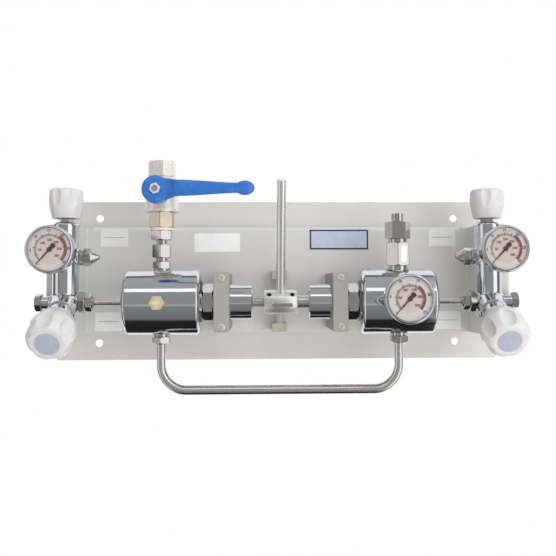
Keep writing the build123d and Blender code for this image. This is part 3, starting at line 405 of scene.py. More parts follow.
def coated(name, light, dark, roughness, patch, grain, strength=0.1):
    """A surface that isn't metal: its tone and roughness change in patches, and a fine grain lifts it."""
    material, tree, spot = new_material(name)
    pattern = noise(tree, spot, patch, 3.0)
    tone = between(tree, pattern, colour(dark), colour(light))
    blur = between(tree, pattern, grey(roughness - 0.03), grey(roughness + 0.04))
    return shaded(material, tree, tone, blur, lifted(tree, noise(tree, spot, grain), strength), IOR=1.5)


# Dipped vinyl: thick, smooth and glossy, with a soft dip-coat ripple.
dipped_vinyl = coated("dipped_blue_vinyl", "#3272C2", "#2A68B8", 0.26, 12, 3.0, 0.08)
# Printed dial card: matt, a faintly uneven warm white.
dial_card = coated("dial_card_white", "#ECE0DE", "#E5D9D7", 0.5, 6, 0.3)
# The dial's inner zone is printed in a pale pink tint.
dial_tint = coated("dial_tint_pink", "#E8D1CD", "#E0C9C5", 0.5, 6, 0.3)
# Printing inks: thin and slightly glossy.
ink_black = coated("printing_ink_black", "#1B1B1C", "#121213", 0.4, 4, 0.3)
ink_grey = coated("printing_ink_grey", "#302D2E", "#262324", 0.45, 4, 0.3)
ink_red = coated("printing_ink_red", "#A8525A", "#984850", 0.4, 4, 0.3)
# Pointers: matt black lacquer on thin sheet.
pointer_lacquer = coated("pointer_black_lacquer", "#0C0C0D", "#060607", 0.45, 4, 0.4)
# Polyester label film: nearly white, with a soft sheen.
label_film = coated("polyester_label_film", "#EAEBEA", "#E4E6E5", 0.32, 10, 0.5)
# The specification label and the one on the relief valve are whiter paper.
label_paper = coated("coated_label_paper", "#F2F3F3", "#ECEEEE", 0.4, 10, 0.5)
# The line that divides a label: thin grey print.
label_line = coated("label_print_line", "#6E7072", "#636668", 0.4, 10, 0.5)
# The name plate is anodised sheet, pale lilac grey, in a dark blue printed frame.
plate_face = coated("anodised_plate_lilac_grey", "#BFC7DA", "#B8C0D3", 0.3, 8, 0.3)
plate_frame = coated("printed_frame_dark_blue", "#2C3B66", "#23315A", 0.35, 8, 0.3)
# The bare disc in the face of the larger knobs: pale blue grey film.
disc_film = coated("knob_disc_pale_blue_grey", "#ADB2C2", "#A5AABB", 0.35, 6, 0.4)
# PTFE ring: waxy white.
seal_white = coated("ptfe_white", "#E6E0D8", "#DDD6CD", 0.45, 3, 0.4)
# Stamped direction mark, filled with dark paint.
mark_paint = coated("mark_olive_grey", "#77756A", "#6C6A60", 0.5, 2, 0.4)
# The support behind the selector: the panel's grey paint, darker here as painted shade from the hub and lever
# in front of it.
rest_grey_painted_shade = coated("panel_grey_with_painted_shade", "#B2AFA8", "#A9A69F", 0.42, 8, 0.8)
# Grub screws and the pads inside the closed housings: plain black, painted shade for the screws' holes in the
# hub and for the inside of the closed housings.
black_for_painted_shade = coated("black_for_painted_shade_steel", "#2E2E30", "#232325", 0.6, 2, 0.4)

# %% [markdown]
# ### Gauge glass
# A gauge window is clear and flat, so what shows is the dial and a faint reflection. The glass lets lamp
# light through to the dial, which a plain glass shader would turn into dark noise, by becoming transparent
# for shadow rays.

# %% Gauge glass
gauge_glass, tree, spot = new_material("clear_gauge_glass")
smear = between(tree, noise(tree, spot, 6), grey(0.0), grey(0.04), start=0.35)
glass = add(tree, "ShaderNodeBsdfPrincipled", inputs={
    "Base Color": colour("#F7FAF8"), "Roughness": smear, "IOR": 1.46, "Transmission Weight": 1.0})
clear = add(tree, "ShaderNodeBsdfTransparent")
rays = add(tree, "ShaderNodeLightPath")
show(gauge_glass, tree, add(tree, "ShaderNodeMixShader", inputs={
    "Fac": rays.outputs["Is Shadow Ray"], 1: glass.outputs[0], 2: clear.outputs[0]}))

# %% [markdown]
# ## Lathe and hexagon work
# A lathe profile is a line of corners, and real corners are never sharp: each is rounded by a short arc.
# Hexagon bar is the same stack of rings with a radius that depends on the angle, and its ends carry the
# cone that the lathe leaves on the corners.

# %% Turned shells
least_rounding = 0.15
arc_steps = 4


def rounded(corners, closed):
    """A profile of (radius, height) through corners (radius, height, rounding). Each corner C is replaced by
    (1-t)^2 A + 2t(1-t) C + t^2 B, where A and B lie the rounding's length before and after C on its sides."""
    table = np.array([tuple(corner) + (least_rounding,) * (3 - len(corner)) for corner in corners], float)
    line = table[:, :2]
    cut = table[:, 2:]
    onward = np.roll(line, -1, axis=0) - line
    onward /= np.maximum(np.linalg.norm(onward, axis=1, keepdims=True), 1e-9)
    before = line - np.roll(onward, 1, axis=0) * cut
    after = line + onward * cut
    t = np.linspace(0, 1, arc_steps)[None, :, None]
    arcs = (1 - t) ** 2 * before[:, None] + 2 * t * (1 - t) * line[:, None] + t ** 2 * after[:, None]
    if closed:
        return arcs.reshape(-1, 2)
    return np.concatenate([line[:1], arcs[1:-1].reshape(-1, 2), line[-1:]])


def turned(where, *corners, bored=False, columns=96):
    """A lathe-turned shell from profile corners, from the lowest inwards point, out, up and in again. The
    corners are (radius, height) or (radius, height, rounding)."""
    profile = rounded(corners, bored)
    points = rings(where, profile[:, :1], profile[:, 1:], around(columns))
    return looped_shell(points) if bored else closed_shell(points)


# %% Bar shells
corner_sharpness = 70
bar_edge = 0.25
round_edge = 0.35
bore_edge = 0.4


def bar_angles(sides, for_each=16):
    """Angles around a bar, crowded towards its corners: within a side they follow a sine."""
    along = np.sin((np.arange(for_each) / for_each * 2 - 1) * pi / 2) / 2
    return ((np.arange(sides)[:, None] + 0.5 + along) * (2 * pi / sides)).ravel()


def bar_radius(angles, flats, sides):
    """Distance to the outline: the sum over the sides of max(0, cos(a - side) / half flats) to the power n,
    to the power -1/n, where n is the sharpness. That is the polygon with its corners slightly rounded."""
    centres = (np.arange(sides) + 0.5) * (2 * pi / sides)
    facing = np.clip(np.cos(angles[:, None] - centres), 0, None) / (flats / 2)
    return (facing ** corner_sharpness).sum(axis=1) ** (-1 / corner_sharpness)


def stacked(where, *sections, bore=0.0, start=0.0, sides=6):
    """A shell from sections on one axis, bottom up: ("bar", flats, length) or ("round", diameter, length).
    A bar's corners are cut by a 30 degree cone: at each angle the cut is (outline - face) tan 30 high."""
    angles = bar_angles(sides)
    level_ring = np.ones(len(angles))
    radii = []
    heights = []
    level = start
    for kind, size, length in sections:
        is_bar = kind == "bar"
        outline = bar_radius(angles, size, sides) if is_bar else size / 2 * level_ring
        face = size / 2 - (bar_edge if is_bar else round_edge)
        drop = (outline - face) * (tan(radians(30)) if is_bar else 1.0)
        radii += [face * level_ring, outline, outline, face * level_ring]
        heights += [level * level_ring, level + drop, level + length - drop, (level + length) * level_ring]
        level += length
    if bore:
        wide = bore / 2 + bore_edge
        radii += [radius * level_ring for radius in (wide, bore / 2, bore / 2, wide)]
        heights += [height * level_ring for height in (level, level - bore_edge, start + bore_edge, start)]
    points = rings(where, np.array(radii), np.array(heights), angles)
    return looped_shell(points) if bore else closed_shell(points)


def tall(*sections):
    """How high the sections stand on each other."""
    return sum(length for kind, size, length in sections)


# %% [markdown]
# ## Copies of machined solids
# Where the CAD solid already has the real shape, such as a clamp block with its bore, a copy of it is
# cleaned: its loose triangles are merged, flat faces are joined up and kept flat, and edges get a small
# bevel, because a sharp edge catches no light.

# %% Machined copies
merge_distance = 2e-6
edge_angle = 40


def cad_copy(node):
    """A working copy of a CAD node's mesh, with its loose triangles merged at their corners."""
    work = bmesh.new()
    work.from_mesh(frame["nodes"][node].data)
    bmesh.ops.remove_doubles(work, verts=work.verts, dist=merge_distance)
    return work


def worked(work, name):
    """The working copy as a mesh of its own."""
    mesh = bpy.data.meshes.new(name)
    work.to_mesh(mesh)
    work.free()
    return mesh


def machined(node, name, finish, edge=0):
    """A copy of a CAD node with flat faces shaded flat and, where edge is given, a bevel of that width in
    millimetres on its edges."""
    work = cad_copy(node)
    bmesh.ops.dissolve_limit(work, angle_limit=radians(0.4), verts=work.verts, edges=work.edges)
    mesh = worked(work, name)
    mesh.shade_smooth()
    mesh.set_sharp_from_angle(angle=radians(edge_angle - 8))
    sizes = np.zeros(len(mesh.polygons), np.int32)
    mesh.polygons.foreach_get("loop_total", sizes)
    mesh.polygons.foreach_set("use_smooth", sizes <= 4)
    dress(mesh, finish)
    piece = new_object(name, mesh)
    if edge:
        bevel = piece.modifiers.new("edges", "BEVEL")
        bevel.width = edge * MM
        bevel.segments = 2
        bevel.limit_method = "ANGLE"
        bevel.angle_limit = radians(edge_angle)
        bevel.harden_normals = True
        bevel.use_clamp_overlap = False
    settle(piece, frame["nodes"][node]["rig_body"], [node])


# %% [markdown]
# ## The folded panel
# One sheet, folded forward twice along the top and bottom, with an ear at each end. Laser cutting leaves
# crisp edges that the powder rounds over, so they have a bevel of 0.4 mm here.

# %% Panel, clamps and rest
machined("back_panel", "folded_panel", powder_coat, edge=0.4)
# The rest's darker grey is painted shade, not a paint of its own.
machined("selector_rest", "rest_bar_with_feet", rest_grey_painted_shade, edge=0.5)
for side in SIDES:
    machined(f"clamp_saddle_{side}", f"clamp_back_{side}", milled_aluminium, edge=0.4)
    machined(f"clamp_cap_{side}", f"clamp_front_{side}", milled_aluminium, edge=0.4)
machined("clamp_screws", "cross_head_screws", plated_zinc, edge=0.12)
machined("rear_screws", "screws_from_behind", plated_zinc, edge=0.2)

# %% [markdown]
# ### Closed bend reliefs
# The CAD sheet has open reliefs beside the ears. On the finished panel the bends run through to the ears, so
# short lengths of the same folded section close them, and strips of flat sheet fill the gap between ear and
# wall flange, out to the ends.

# %% Closed bend reliefs
fold_section = np.array([
    (-2.0, 67.1), (-2.0, 65.2), (-2.7, 63.5), (-4.5, 62.5), (-22.6, 62.5), (-24.9, 61.9), (-23.0, 61.9),
    (-23.0, 60.5), (-1.0, 60.5), (0.0, 61.5), (0.0, 67.1)])
flange_section = np.array([(-2.0, 67.1), (-2.0, 62.6), (0.0, 62.6), (0.0, 67.1)])
fold_length = 8.0
fold_starts = (-225.9, 217.9)
flange_length = 39.0
flange_starts = (-264.8, 225.8)


def sheet_length(outline, start, length, up):
    """A length of sheet: its section in Y and Z, upright or mirrored downwards, carried along X."""
    section = (outline * (1, up))[::up]
    ends = [np.column_stack([np.full(len(section), x), section]) for x in (start, start + length)]
    return closed_shell(np.stack(ends))


fills = [sheet_length(section, start, length, up)
         for section, starts, length in ((fold_section, fold_starts, fold_length),
                                         (flange_section, flange_starts, flange_length))
         for start in starts for up in (1, -1)]
make_piece("closed_bend_reliefs", fills, powder_coat, "panel")

# %% [markdown]
# ## Valve blocks
# Each block is a hot forging: its barrels run into each other with soft fillets, and polishing has rounded
# every corner. The CAD solid has the barrels but no fillets. A voxel remesh turns it into an even net of
# quads, and smoothing that net draws the fillets.

# %% Forged blocks
voxel_size = 0.8
smoothing_rounds = 9


def forged(node, name, finish):
    """A copy of a CAD node, remeshed to even quads and smoothed, as a forging is."""
    carrier = new_object(name + "_rough", worked(cad_copy(node), name + "_rough"))
    net = carrier.modifiers.new("net", "REMESH")
    net.mode = "VOXEL"
    net.voxel_size = voxel_size * MM
    soften = carrier.modifiers.new("soften", "SMOOTH")
    soften.factor = 0.5
    soften.iterations = smoothing_rounds
    mesh = bpy.data.meshes.new_from_object(carrier.evaluated_get(bpy.context.evaluated_depsgraph_get()))
    mesh.name = name
    bpy.data.objects.remove(carrier)
    mesh.shade_smooth()
    dress(mesh, finish)
    settle(new_object(name, mesh), frame["nodes"][node]["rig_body"], [node])


for side in SIDES:
    forged(f"valve_block_{side}", f"forged_block_{side}", chrome)

# %% [markdown]
# ## Regulators
# A regulator body is turned from brass bar and chromed, with a rim broken at both ends and a short throat
# towards the bonnet. A mirror shows every facet, so the body is a fresh shell of 256 columns. The bonnets are
# plain turned cylinders with a rounded end towards the selector.

# %% Regulators and bonnets
body_inner = 86.3
body_outer = 167.0
body_radius = 35.5
body_face = 33.0
rim = 2.5
throat_radius = 25.0
boss_radius = 11.0
body_length = body_outer - body_inner
boss_end = body_length + 5.0
tube_hole = 3.05
bonnet_inner = 30.0
bonnet_outer = 72.3
bonnet_length = bonnet_outer - bonnet_inner
bonnet_radius = 19.0
bonnet_floor = 7.0
bonnet_hollow = 13.0
shaft_hole = {"left": 6.3, "right": 7.05}
neck_nut = ("bar", 35.0, 12.0)
body_profile = [
    (0.5, -2.0), (20.5, -2.0, 0.3), (throat_radius, 0.0, 0.3), (body_face, 0.0, 0.8), (body_radius, rim, 1.5),
    (body_radius, body_length - rim, 1.5), (body_face, body_length, 0.8), (boss_radius, body_length, 0.5),
    (boss_radius, boss_end, 1.6), (tube_hole, boss_end), (tube_hole, body_length - 1.0),
    (0.5, body_length - 1.0)]
bonnet_profile = [
    (bonnet_radius, 0, 3.2), (bonnet_radius, bonnet_length, 0.6), (bonnet_hollow, bonnet_length),
    (bonnet_hollow, bonnet_floor)]
for side, sign in SIDES.items():
    body = turned(on_gas_line(middle_x + sign * body_inner, sign), *body_profile, columns=256)
    make_piece(f"turned_regulator_{side}", [body], chrome, "panel", [f"regulator_body_{side}"])
    bore = [(shaft_hole[side], bonnet_floor), (shaft_hole[side], 0)]
    shell = turned(on_gas_line(middle_x + sign * bonnet_inner, sign), *bore, *bonnet_profile, bored=True)
    make_piece(f"bonnet_cylinder_{side}", [shell], chrome, "panel", [f"bonnet_{side}"])
    nut = stacked(on_gas_line(middle_x + sign * bonnet_outer, sign), neck_nut)
    make_piece(f"bonnet_nut_{side}", [nut], nut_chrome, "panel", [f"neck_nut_{side}"])

# %% [markdown]
# ## Small fittings
# Nuts, nozzles and adaptors are cut from bar. Each is a few sections on one axis, listed by kind, width and
# length. The piece for a group node holds all its solids, as the CAD node does.

# %% Tube nuts and lock nuts
small_bore = 6.1
loop_bore = 10.1
lock_nut = ("bar", 21.5, 6.8)
tube_nut = [("bar", 17.0, 6.6), ("round", 13.0, 1.8)]
loop_nut = [("bar", 18.6, 7.0), ("round", 14.0, 1.0)]
loop_collar = ("round", 16.5, 4.3)
nuts = []
locks = []
for side, sign in SIDES.items():
    x = block_x[side] - sign * block_port
    locks.append(stacked(on_gas_line(x, -sign, 20), lock_nut, bore=small_bore))
    nuts.append(stacked(on_gas_line(x - sign * tall(lock_nut), -sign), *tube_nut, bore=small_bore))
    below = place(port_x[side], gas_y, gas_z - seat_distance - tall(loop_collar), DOWN, 30)
    nuts.append(stacked(below, *loop_nut, bore=loop_bore))
make_piece("compression_nuts", nuts, nut_chrome, "panel", ["tube_nuts"])
make_piece("outlet_nuts", locks, nut_chrome, "panel", ["outlet_lock_nuts"])

# %% Inlets
inlet_reach = 16.9
nipple = [("round", 14.0, 8.0), ("round", 10.0, 5.0)]
cap_nut = ("bar", 17.0, 6.6)
caps = []
nipples = []
for side, sign in SIDES.items():
    x = block_x[side] + sign * inlet_reach
    nipples.append(stacked(on_gas_line(x, sign), *nipple))
    caps.append(stacked(on_gas_line(x + sign * tall(nipple[0]), sign, 15), cap_nut))
make_piece("inlet_nipples", nipples, chrome, "panel", ["inlet_adaptors"])
make_piece("inlet_cap_nuts", caps, nut_chrome, "panel", ["inlet_caps"])

# %% Purge nozzles
purge_outlet_z = 25.0
nozzle_nut = [("round", 18.0, 4.5), ("bar", 17.0, 8.0)]
nozzle_cone = [(1.5, 12.4), (7.9, 12.4, 0.4), (2.6, 20.9, 0.4), (1.5, 20.9)]
nozzles = []
for side, sign in SIDES.items():
    seat = place(block_x[side] - sign * block_port, gas_y, purge_outlet_z, (-sign, 0, 0), 10)
    nozzles += [stacked(seat, *nozzle_nut), turned(seat, *nozzle_cone, bored=True)]
make_piece("purge_outlets", nozzles, nut_chrome, "panel", ["purge_nozzles"])

# %% Glands
block_top_z = 62.2
purge_gland = [("bar", 14.0, 7.0), ("round", 11.0, 3.5)]
lean = radians(30)
isolation_direction = (0, -cos(lean), -sin(lean))
isolation_reach = 22.0
isolation_neck = [(4.05, 0), (13.5, 0, 0.8), (13.5, 11.4, 0.8), (10.0, 19.0, 0.8), (4.05, 19.0)]
purge_glands = []
isolation_necks = []
for side in SIDES:
    purge_glands.append(stacked(place(block_x[side], gas_y, block_top_z), *purge_gland, bore=small_bore))
    seat = shifted(place(block_x[side], gas_y, gas_z, isolation_direction), isolation_reach)
    isolation_necks.append(turned(seat, *isolation_neck, bored=True))
make_piece("purge_gland_nuts", purge_glands, nut_chrome, "panel", ["purge_glands"])
make_piece("isolation_necks", isolation_necks, chrome, "panel", ["isolation_glands"])

# %% Straight tubes
tube_start = 17.7
straight_radius = 3.0
straight_hole = 2.0
straight = []
for side, sign in SIDES.items():
    start = block_x[side] - sign * tube_start
    length = abs(middle_x + sign * body_outer - start)
    profile = [(straight_hole, 0), (straight_radius, 0), (straight_radius, length), (straight_hole, length)]
    straight.append(turned(on_gas_line(start, -sign), *profile, bored=True, columns=48))
make_piece("high_pressure_tubes", straight, drawn_stainless, "panel", ["inlet_tubes"])

# %% [markdown]
# ## Loop tube
# One tube bent twice joins the regulators from below. Its centre line is straight runs and quarter circles;
# a round section is carried along it.

# %% Loop tube
loop_bottom_z = -119.1
bend_radius = 27.0
tube_radius = 5.0
tube_wall = 1.0


def bent_tube(left, right, top, bottom, bend, radius, wall):
    """A U of tube: for each point of the centre line, in world X and Z, a ring of that radius lies across the
    line's direction. The line is a run down, a quarter circle, a run across and the same back up."""
    quarter = np.linspace(0, pi / 2, 25)
    run_down = np.linspace(top, bottom + bend, 12, endpoint=False)
    run_across = np.linspace(left + bend, right - bend, 24)[1:-1]
    half_x = np.concatenate([np.full(len(run_down), left), left + bend - bend * np.cos(quarter)])
    half_z = np.concatenate([run_down, bottom + bend - bend * np.sin(quarter)])
    x = np.concatenate([half_x, run_across, (left + right - half_x)[::-1]])
    z = np.concatenate([half_z, np.full(len(run_across), bottom), half_z[::-1]])
    along = np.stack([np.gradient(x), np.zeros(len(x)), np.gradient(z)], axis=1)
    along /= np.linalg.norm(along, axis=1, keepdims=True)
    centre = np.stack([x, np.full(len(x), gas_y), z], axis=1)
    toward = np.array(FRONT, float)
    other = np.cross(along, toward)
    angles = around(48)[:, None]
    across = toward * np.cos(angles) + other[:, None] * np.sin(angles)
    outer = centre[:, None] + across * radius
    inner = (centre[:, None] + across * (radius - wall))[::-1]
    return looped_shell(np.concatenate([outer, inner]))


loop = bent_tube(port_x["left"], port_x["right"], gas_z - seat_distance - 0.3, loop_bottom_z, bend_radius,
                 tube_radius, tube_wall)
make_piece("bent_loop_tube", [loop], drawn_stainless, "panel", ["loop_tube"])
collars = [stacked(place(port_x[side], gas_y, gas_z - seat_distance, DOWN), loop_collar, bore=loop_bore)
           for side in SIDES]
make_piece("loop_collars", collars, nut_chrome, "panel", ["loop_fittings"])

# %% [markdown]
# ## Outlet fittings and ball valve
# The outlet climbs from the left regulator: collar, hexagon, union nut, hexagon, a white sealing ring and the
# ball valve. The valve is brass with nickel: a hexagon foot, a ring flange, a round barrel and an
# eight-sided end for the delivery thread. The foot's darker, warmer nickel is painted shade under the flange.

# %% Outlet fittings
lower_fitting = [("round", 18.4, 3.0), ("bar", 18.2, 8.0), ("round", 13.5, 4.0)]
union_nut = ("bar", 19.4, 14.5)
upper_fitting = [("round", 12.0, 4.8), ("bar", 21.5, 10.3)]
seal = ("round", 25.5, 3.2)
plug = ("bar", 13.9, 7.0)
plug_distance = 35.0
thread_bore = 19.0
outlet_z = gas_z + seat_distance
union_z = outlet_z + tall(*lower_fitting)
upper_z = union_z + tall(union_nut)
seal_z = upper_z + tall(*upper_fitting)
valve_z = seal_z + tall(seal)


def above_outlet(z, turn=0.0):
    """A place over the left regulator's outlet that looks up."""
    return place(port_x["left"], gas_y, z, UP, turn)


def before_outlet(distance, z, turn=0.0):
    """A place in front of the outlet's axis that looks to the front."""
    return place(port_x["left"], gas_y - distance, z, FRONT, turn)


fittings = [stacked(above_outlet(outlet_z, 30), *lower_fitting),
            stacked(above_outlet(upper_z, 30), *upper_fitting, bore=6.0)]
make_piece("outlet_fittings", fittings, nut_chrome, "panel", ["outlet_adaptors"])
union = stacked(above_outlet(union_z, 30), union_nut)
make_piece("union_hexagon", [union], nut_chrome, "panel", ["union_nut"])
ring = stacked(above_outlet(seal_z), seal, bore=thread_bore)
make_piece("white_sealing_ring", [ring], seal_white, "panel", ["sealing_ring"])
hexagon = stacked(before_outlet(plug_distance, gas_z), plug)
make_piece("front_hexagon_plug", [hexagon], brass_nickel, "panel", ["front_plug"])

# %% Ball valve
valve_foot = ("bar", 25.0, 16.9)
valve_end = ("bar", 27.2, 17.1)
barrel_z = valve_z + 16.7
end_z = valve_z + 55.2
barrel_profile = [
    (6.5, 0), (19.0, 0, 0.9), (19.0, 4.0, 0.9), (18.0, 4.0), (18.0, 34.0, 5.5), (14.2, 38.5, 1.2),
    (6.5, 38.5)]
boss_profile = [
    (4.55, 10.0), (10.0, 10.0), (10.0, 33.0, 1.0), (7.5, 33.0, 0.3), (7.5, 43.0, 0.8), (4.55, 43.0)]
# The foot's darker nickel is painted shade under the ring flange.
foot = stacked(above_outlet(valve_z, 28), valve_foot, bore=thread_bore)
make_piece("nickel_valve_foot", [foot], nickel_with_painted_shade, "panel")
barrel = turned(above_outlet(barrel_z), *barrel_profile, bored=True)
boss = turned(before_outlet(0.0, stem_z), *boss_profile, bored=True)
make_piece("nickel_valve_barrel", [barrel, boss], bright_nickel, "panel", ["ball_valve_body"])
octagon = stacked(above_outlet(end_z, 12), valve_end, bore=thread_bore, sides=8)
make_piece("nickel_valve_end", [octagon], bright_nickel, "panel", ["ball_valve_end"])

# %% [markdown]
# ### Lever of the ball valve
# The lever is bent steel strip with a dipped vinyl coat: a round cap over the stem, a crank and a tapering
# arm with a rounded end. Its outline comes from three curves along its length: half width, height of the
# middle, and half thickness. A superellipse section carries them.

# %% Blue lever
handle_plane = 50.0
handle_thickness = 5.0
handle_rise = 8.0
cap_top = 55.0
cap_half_width = 11.0
neck_half_width = 8.4
tip_half_width = 5.0
bulb_swell = 0.22
curve_start = 60
bunched_from = 80
arm_end = 101.5
bulb_middle = 91.5
bulb_half_length = 10.0
bulb_half_width = 7.35
cap_profile = [
    (4.6, handle_plane), (11.25, handle_plane), (11.25, 36.0, 0.6), (14.25, 36.0, 1.2), (14.25, cap_top, 2.6),
    (4.6, cap_top)]
lever_nut = ("bar", 10.0, 4.0)


def smooth_step(value, low, high):
    """0 below low, 1 above high, and t^2 (3 - 2t) between."""
    t = np.clip((value - low) / (high - low), 0, 1)
    return t * t * (3 - 2 * t)


def squarish(wave):
    """A sine or cosine to the power 0.6 with its own sign, which turns a circle into a rounded rectangle."""
    return np.sign(wave) * np.abs(wave) ** 0.6


def lever_arm(where):
    """A grid of stations along the arm and points around it. At station x the section is
    y = w |cos a|^0.6, z = c + h |sin a|^0.6 with the signs of cos and sin; w tapers and then swells to the
    round end, c rises through the crank, and h swells in the round end."""
    run = np.linspace(0, bunched_from, 90, endpoint=False)
    x = np.concatenate([run, bunched_from + (arm_end - bunched_from) * np.sin(np.linspace(0, pi / 2, 40))])
    taper = (cap_half_width - (cap_half_width - neck_half_width) * smooth_step(x, 10, 24)
             - (neck_half_width - tip_half_width) * smooth_step(x, 20, 92))
    bulb = bulb_half_width * np.sqrt(np.clip(1 - ((x - bulb_middle) / bulb_half_length) ** 2, 0, 1))
    width = np.where(x < bulb_middle, np.maximum(taper, bulb), bulb) + 0.02
    middle = handle_plane + handle_thickness / 2 + handle_rise * smooth_step(x, 11, 25)
    falling = np.clip(1 - ((x - curve_start) / (arm_end - curve_start)).clip(0) ** 10, 0.02, 1)
    thick = handle_thickness / 2 * falling ** 0.25 + bulb * bulb_swell
    angles = around(40)
    width = width[:, None] * squarish(np.cos(angles))
    height = middle[:, None] + thick[:, None] * squarish(np.sin(angles))
    return closed_shell(put(where, np.stack(np.broadcast_arrays(x[:, None], width, height), axis=-1)))


lever_place = before_outlet(0.0, stem_z)
cap = turned(lever_place, *cap_profile, bored=True)
make_piece("blue_lever", [cap, lever_arm(lever_place)], dipped_vinyl, "outlet_handle", ["valve_lever"],
           sharp=40)
nut = stacked(before_outlet(cap_top, stem_z, 15), lever_nut, bore=small_bore)
make_piece("lever_hexagon_nut", [nut], nickel_nut, "outlet_handle", ["lever_nut"])

# %% [markdown]
# ## Relief valve
# On the right regulator stands a spring relief valve: neck, hexagon housing, collar, a larger hexagon bonnet
# and the vent stub.

# %% Relief valve
relief_body = [("round", 20.0, 6.0), ("bar", 24.3, 25.2), ("round", 20.0, 3.9)]
relief_nut = ("bar", 24.7, 19.0)
shank_hole = 13.1
relief_shank = [(3.5, 34.0), (6.5, 34.0), (6.5, 54.6), (7.0, 54.6, 0.3), (7.0, 63.1, 0.5), (3.5, 63.1)]
relief_seat = place(port_x["right"], gas_y, outlet_z, UP, 22)
relief_top = place(port_x["right"], gas_y, outlet_z + tall(*relief_body))
housing = [stacked(relief_seat, *relief_body), turned(relief_seat, *relief_shank, bored=True)]
make_piece("relief_housing", housing, nut_chrome, "panel", ["relief_valve_body"])
nut = stacked(relief_top, relief_nut, bore=shank_hole)
make_piece("relief_bonnet_nut", [nut], nut_chrome, "panel", ["relief_nut"])

# %% [markdown]
# ## Knobs
# A knob is a round barrel with six finger scoops. The scoops are cut by cylinders that lean inwards, so they
# deepen towards the face, and moulding rounds their edges. That rounding is a smooth minimum of two radii:
# the barrel's and the cutter's.

# %% Knob shape
knob_scoops = 6
scoop_share = 0.44
scoop_bite = 1.5
scoop_softness = 0.15
foot_round = 1.2
face_round = 3.0
fade_depth = 0.6
fade_length = 6.0
hollow_depth = 7.0
knob_wall = 4.0
knob_columns = 180
barrel_rings = 88
face_rings = 6
measured_at = (0.0, 0.45, 0.66, 1.0)


def knob_shell(where, length, base, widest, face, lean, bore):
    """For ring height t and angle a: the barrel's radius R(t), a cubic through four measured radii with a
    quarter circle at both ends, and the near side of the cutting cylinder, c cos f - sqrt(q^2 - (c sin f)^2),
    where f is the angle from the nearest scoop, q the cutter's radius and c its distance from the axis, which
    shrinks with t, while a small extra distance fades in near the face. The result is their smooth
    minimum."""
    low = base / 2
    wide = widest / 2
    top = face / 2
    quarter = np.linspace(0, pi / 2, 12)
    barrel = np.linspace(foot_round, length - face_round, barrel_rings + 2)[1:-1]
    height = np.concatenate([foot_round * (1 - np.cos(quarter)), barrel,
                             length - face_round + face_round * np.sin(quarter), np.full(face_rings, length)])
    inset = np.concatenate([foot_round * (1 - np.sin(quarter)), np.zeros(barrel_rings),
                            face_round * (1 - np.cos(quarter)), np.zeros(face_rings)])
    curve = np.polyfit(measured_at, (low, wide - 0.6, wide, top), 3)
    radius = np.polyval(curve, height / length) - inset
    radius[-face_rings:] = np.linspace(top - face_round - 1.5, 0.4, face_rings)
    radius = radius[:, None]
    height = height[:, None]
    angles = around(knob_columns)
    spacing = 2 * pi / knob_scoops
    off = (angles + spacing / 2) % spacing - spacing / 2
    cutter = wide * scoop_share
    fading = fade_depth * smooth_step(height, length - fade_length, length)
    distance = top - scoop_bite + cutter + (length - height) * tan(radians(lean)) + fading
    inside = cutter ** 2 - (distance * np.sin(off)) ** 2
    near = distance * np.cos(off) - np.sqrt(np.clip(inside, 0, None)) + np.where(inside < 0, 0.6 * cutter, 0)
    shaped = -scoop_softness * np.logaddexp(-radius / scoop_softness, -near / scoop_softness)
    radius = np.where(radius < top - 5, radius, np.clip(shaped, 0.2, None))
    hollow = np.array([(bore, length - 6), (bore, hollow_depth), (low - knob_wall - 0.2, hollow_depth),
                       (low - knob_wall, 0.6)])
    all_radii = np.concatenate([np.broadcast_to(hollow[:, :1], (len(hollow), knob_columns)), radius])
    return closed_shell(rings(where, all_radii, np.concatenate([hollow[:, 1:], height]), angles))


# %% Knobs
knob_clearance = 4.3
isolation_knob_start = 37.0
disc_profile = [(0.5, 41.4), (12.6, 41.4), (12.6, 42.3, 0.3), (0.5, 42.3)]
for side in SIDES:
    seat = place(block_x[side], gas_y, block_top_z + knob_clearance, UP, 10)
    shell = knob_shell(seat, length=32.5, base=29.9, widest=37.0, face=34.0, lean=5.0, bore=3.05)
    make_piece(f"moulded_purge_knob_{side}", [shell], knob_plastic, f"purge_{side}", [f"purge_knob_{side}"],
               sharp=50)
    seat = shifted(place(block_x[side], gas_y, gas_z, isolation_direction, 35), isolation_knob_start)
    shell = knob_shell(seat, length=42.0, base=36.0, widest=49.3, face=37.5, lean=12.0, bore=4.05)
    make_piece(f"moulded_isolation_knob_{side}", [shell], knob_plastic, f"isolation_{side}",
               [f"isolation_knob_{side}"], sharp=50)
    disc = turned(seat, *disc_profile)
    make_piece(f"knob_cover_disc_{side}", [disc], disc_film, f"isolation_{side}")

# %% [markdown]
# ## Gauges
# A gauge is a polished case with a rolled bezel, a printed dial, a black pointer and a flat window. The scale
# is plain: tick marks and numbers, a pale pink inner zone and a red arc for the range that is out of bounds.
# Marks are thin printed shapes about a tenth of a millimetre above the card.

# %% Gauge places
gauges = {
    "left": (place(block_x["left"] - 5.3, gas_y - 22.2, 31.4, FRONT), 7.0),
    "right": (place(block_x["right"] + 5.3, gas_y - 22.2, 31.4, FRONT), 7.0),
    "regulator": (place(125.2, gas_y - 63.0, -19.9, FRONT), 30.0)}
gauge_seats = {name: seat for name, (seat, stem) in gauges.items()}
case_radius = 23.75
bezel_radius = 25.0
bezel_start = 19.0
bezel_top = 25.8
dial_radius = 21.9
dial_height = 21.3
scale_start = 228.0
scale_sweep = 270.0
print("gauges:", ", ".join(gauges))

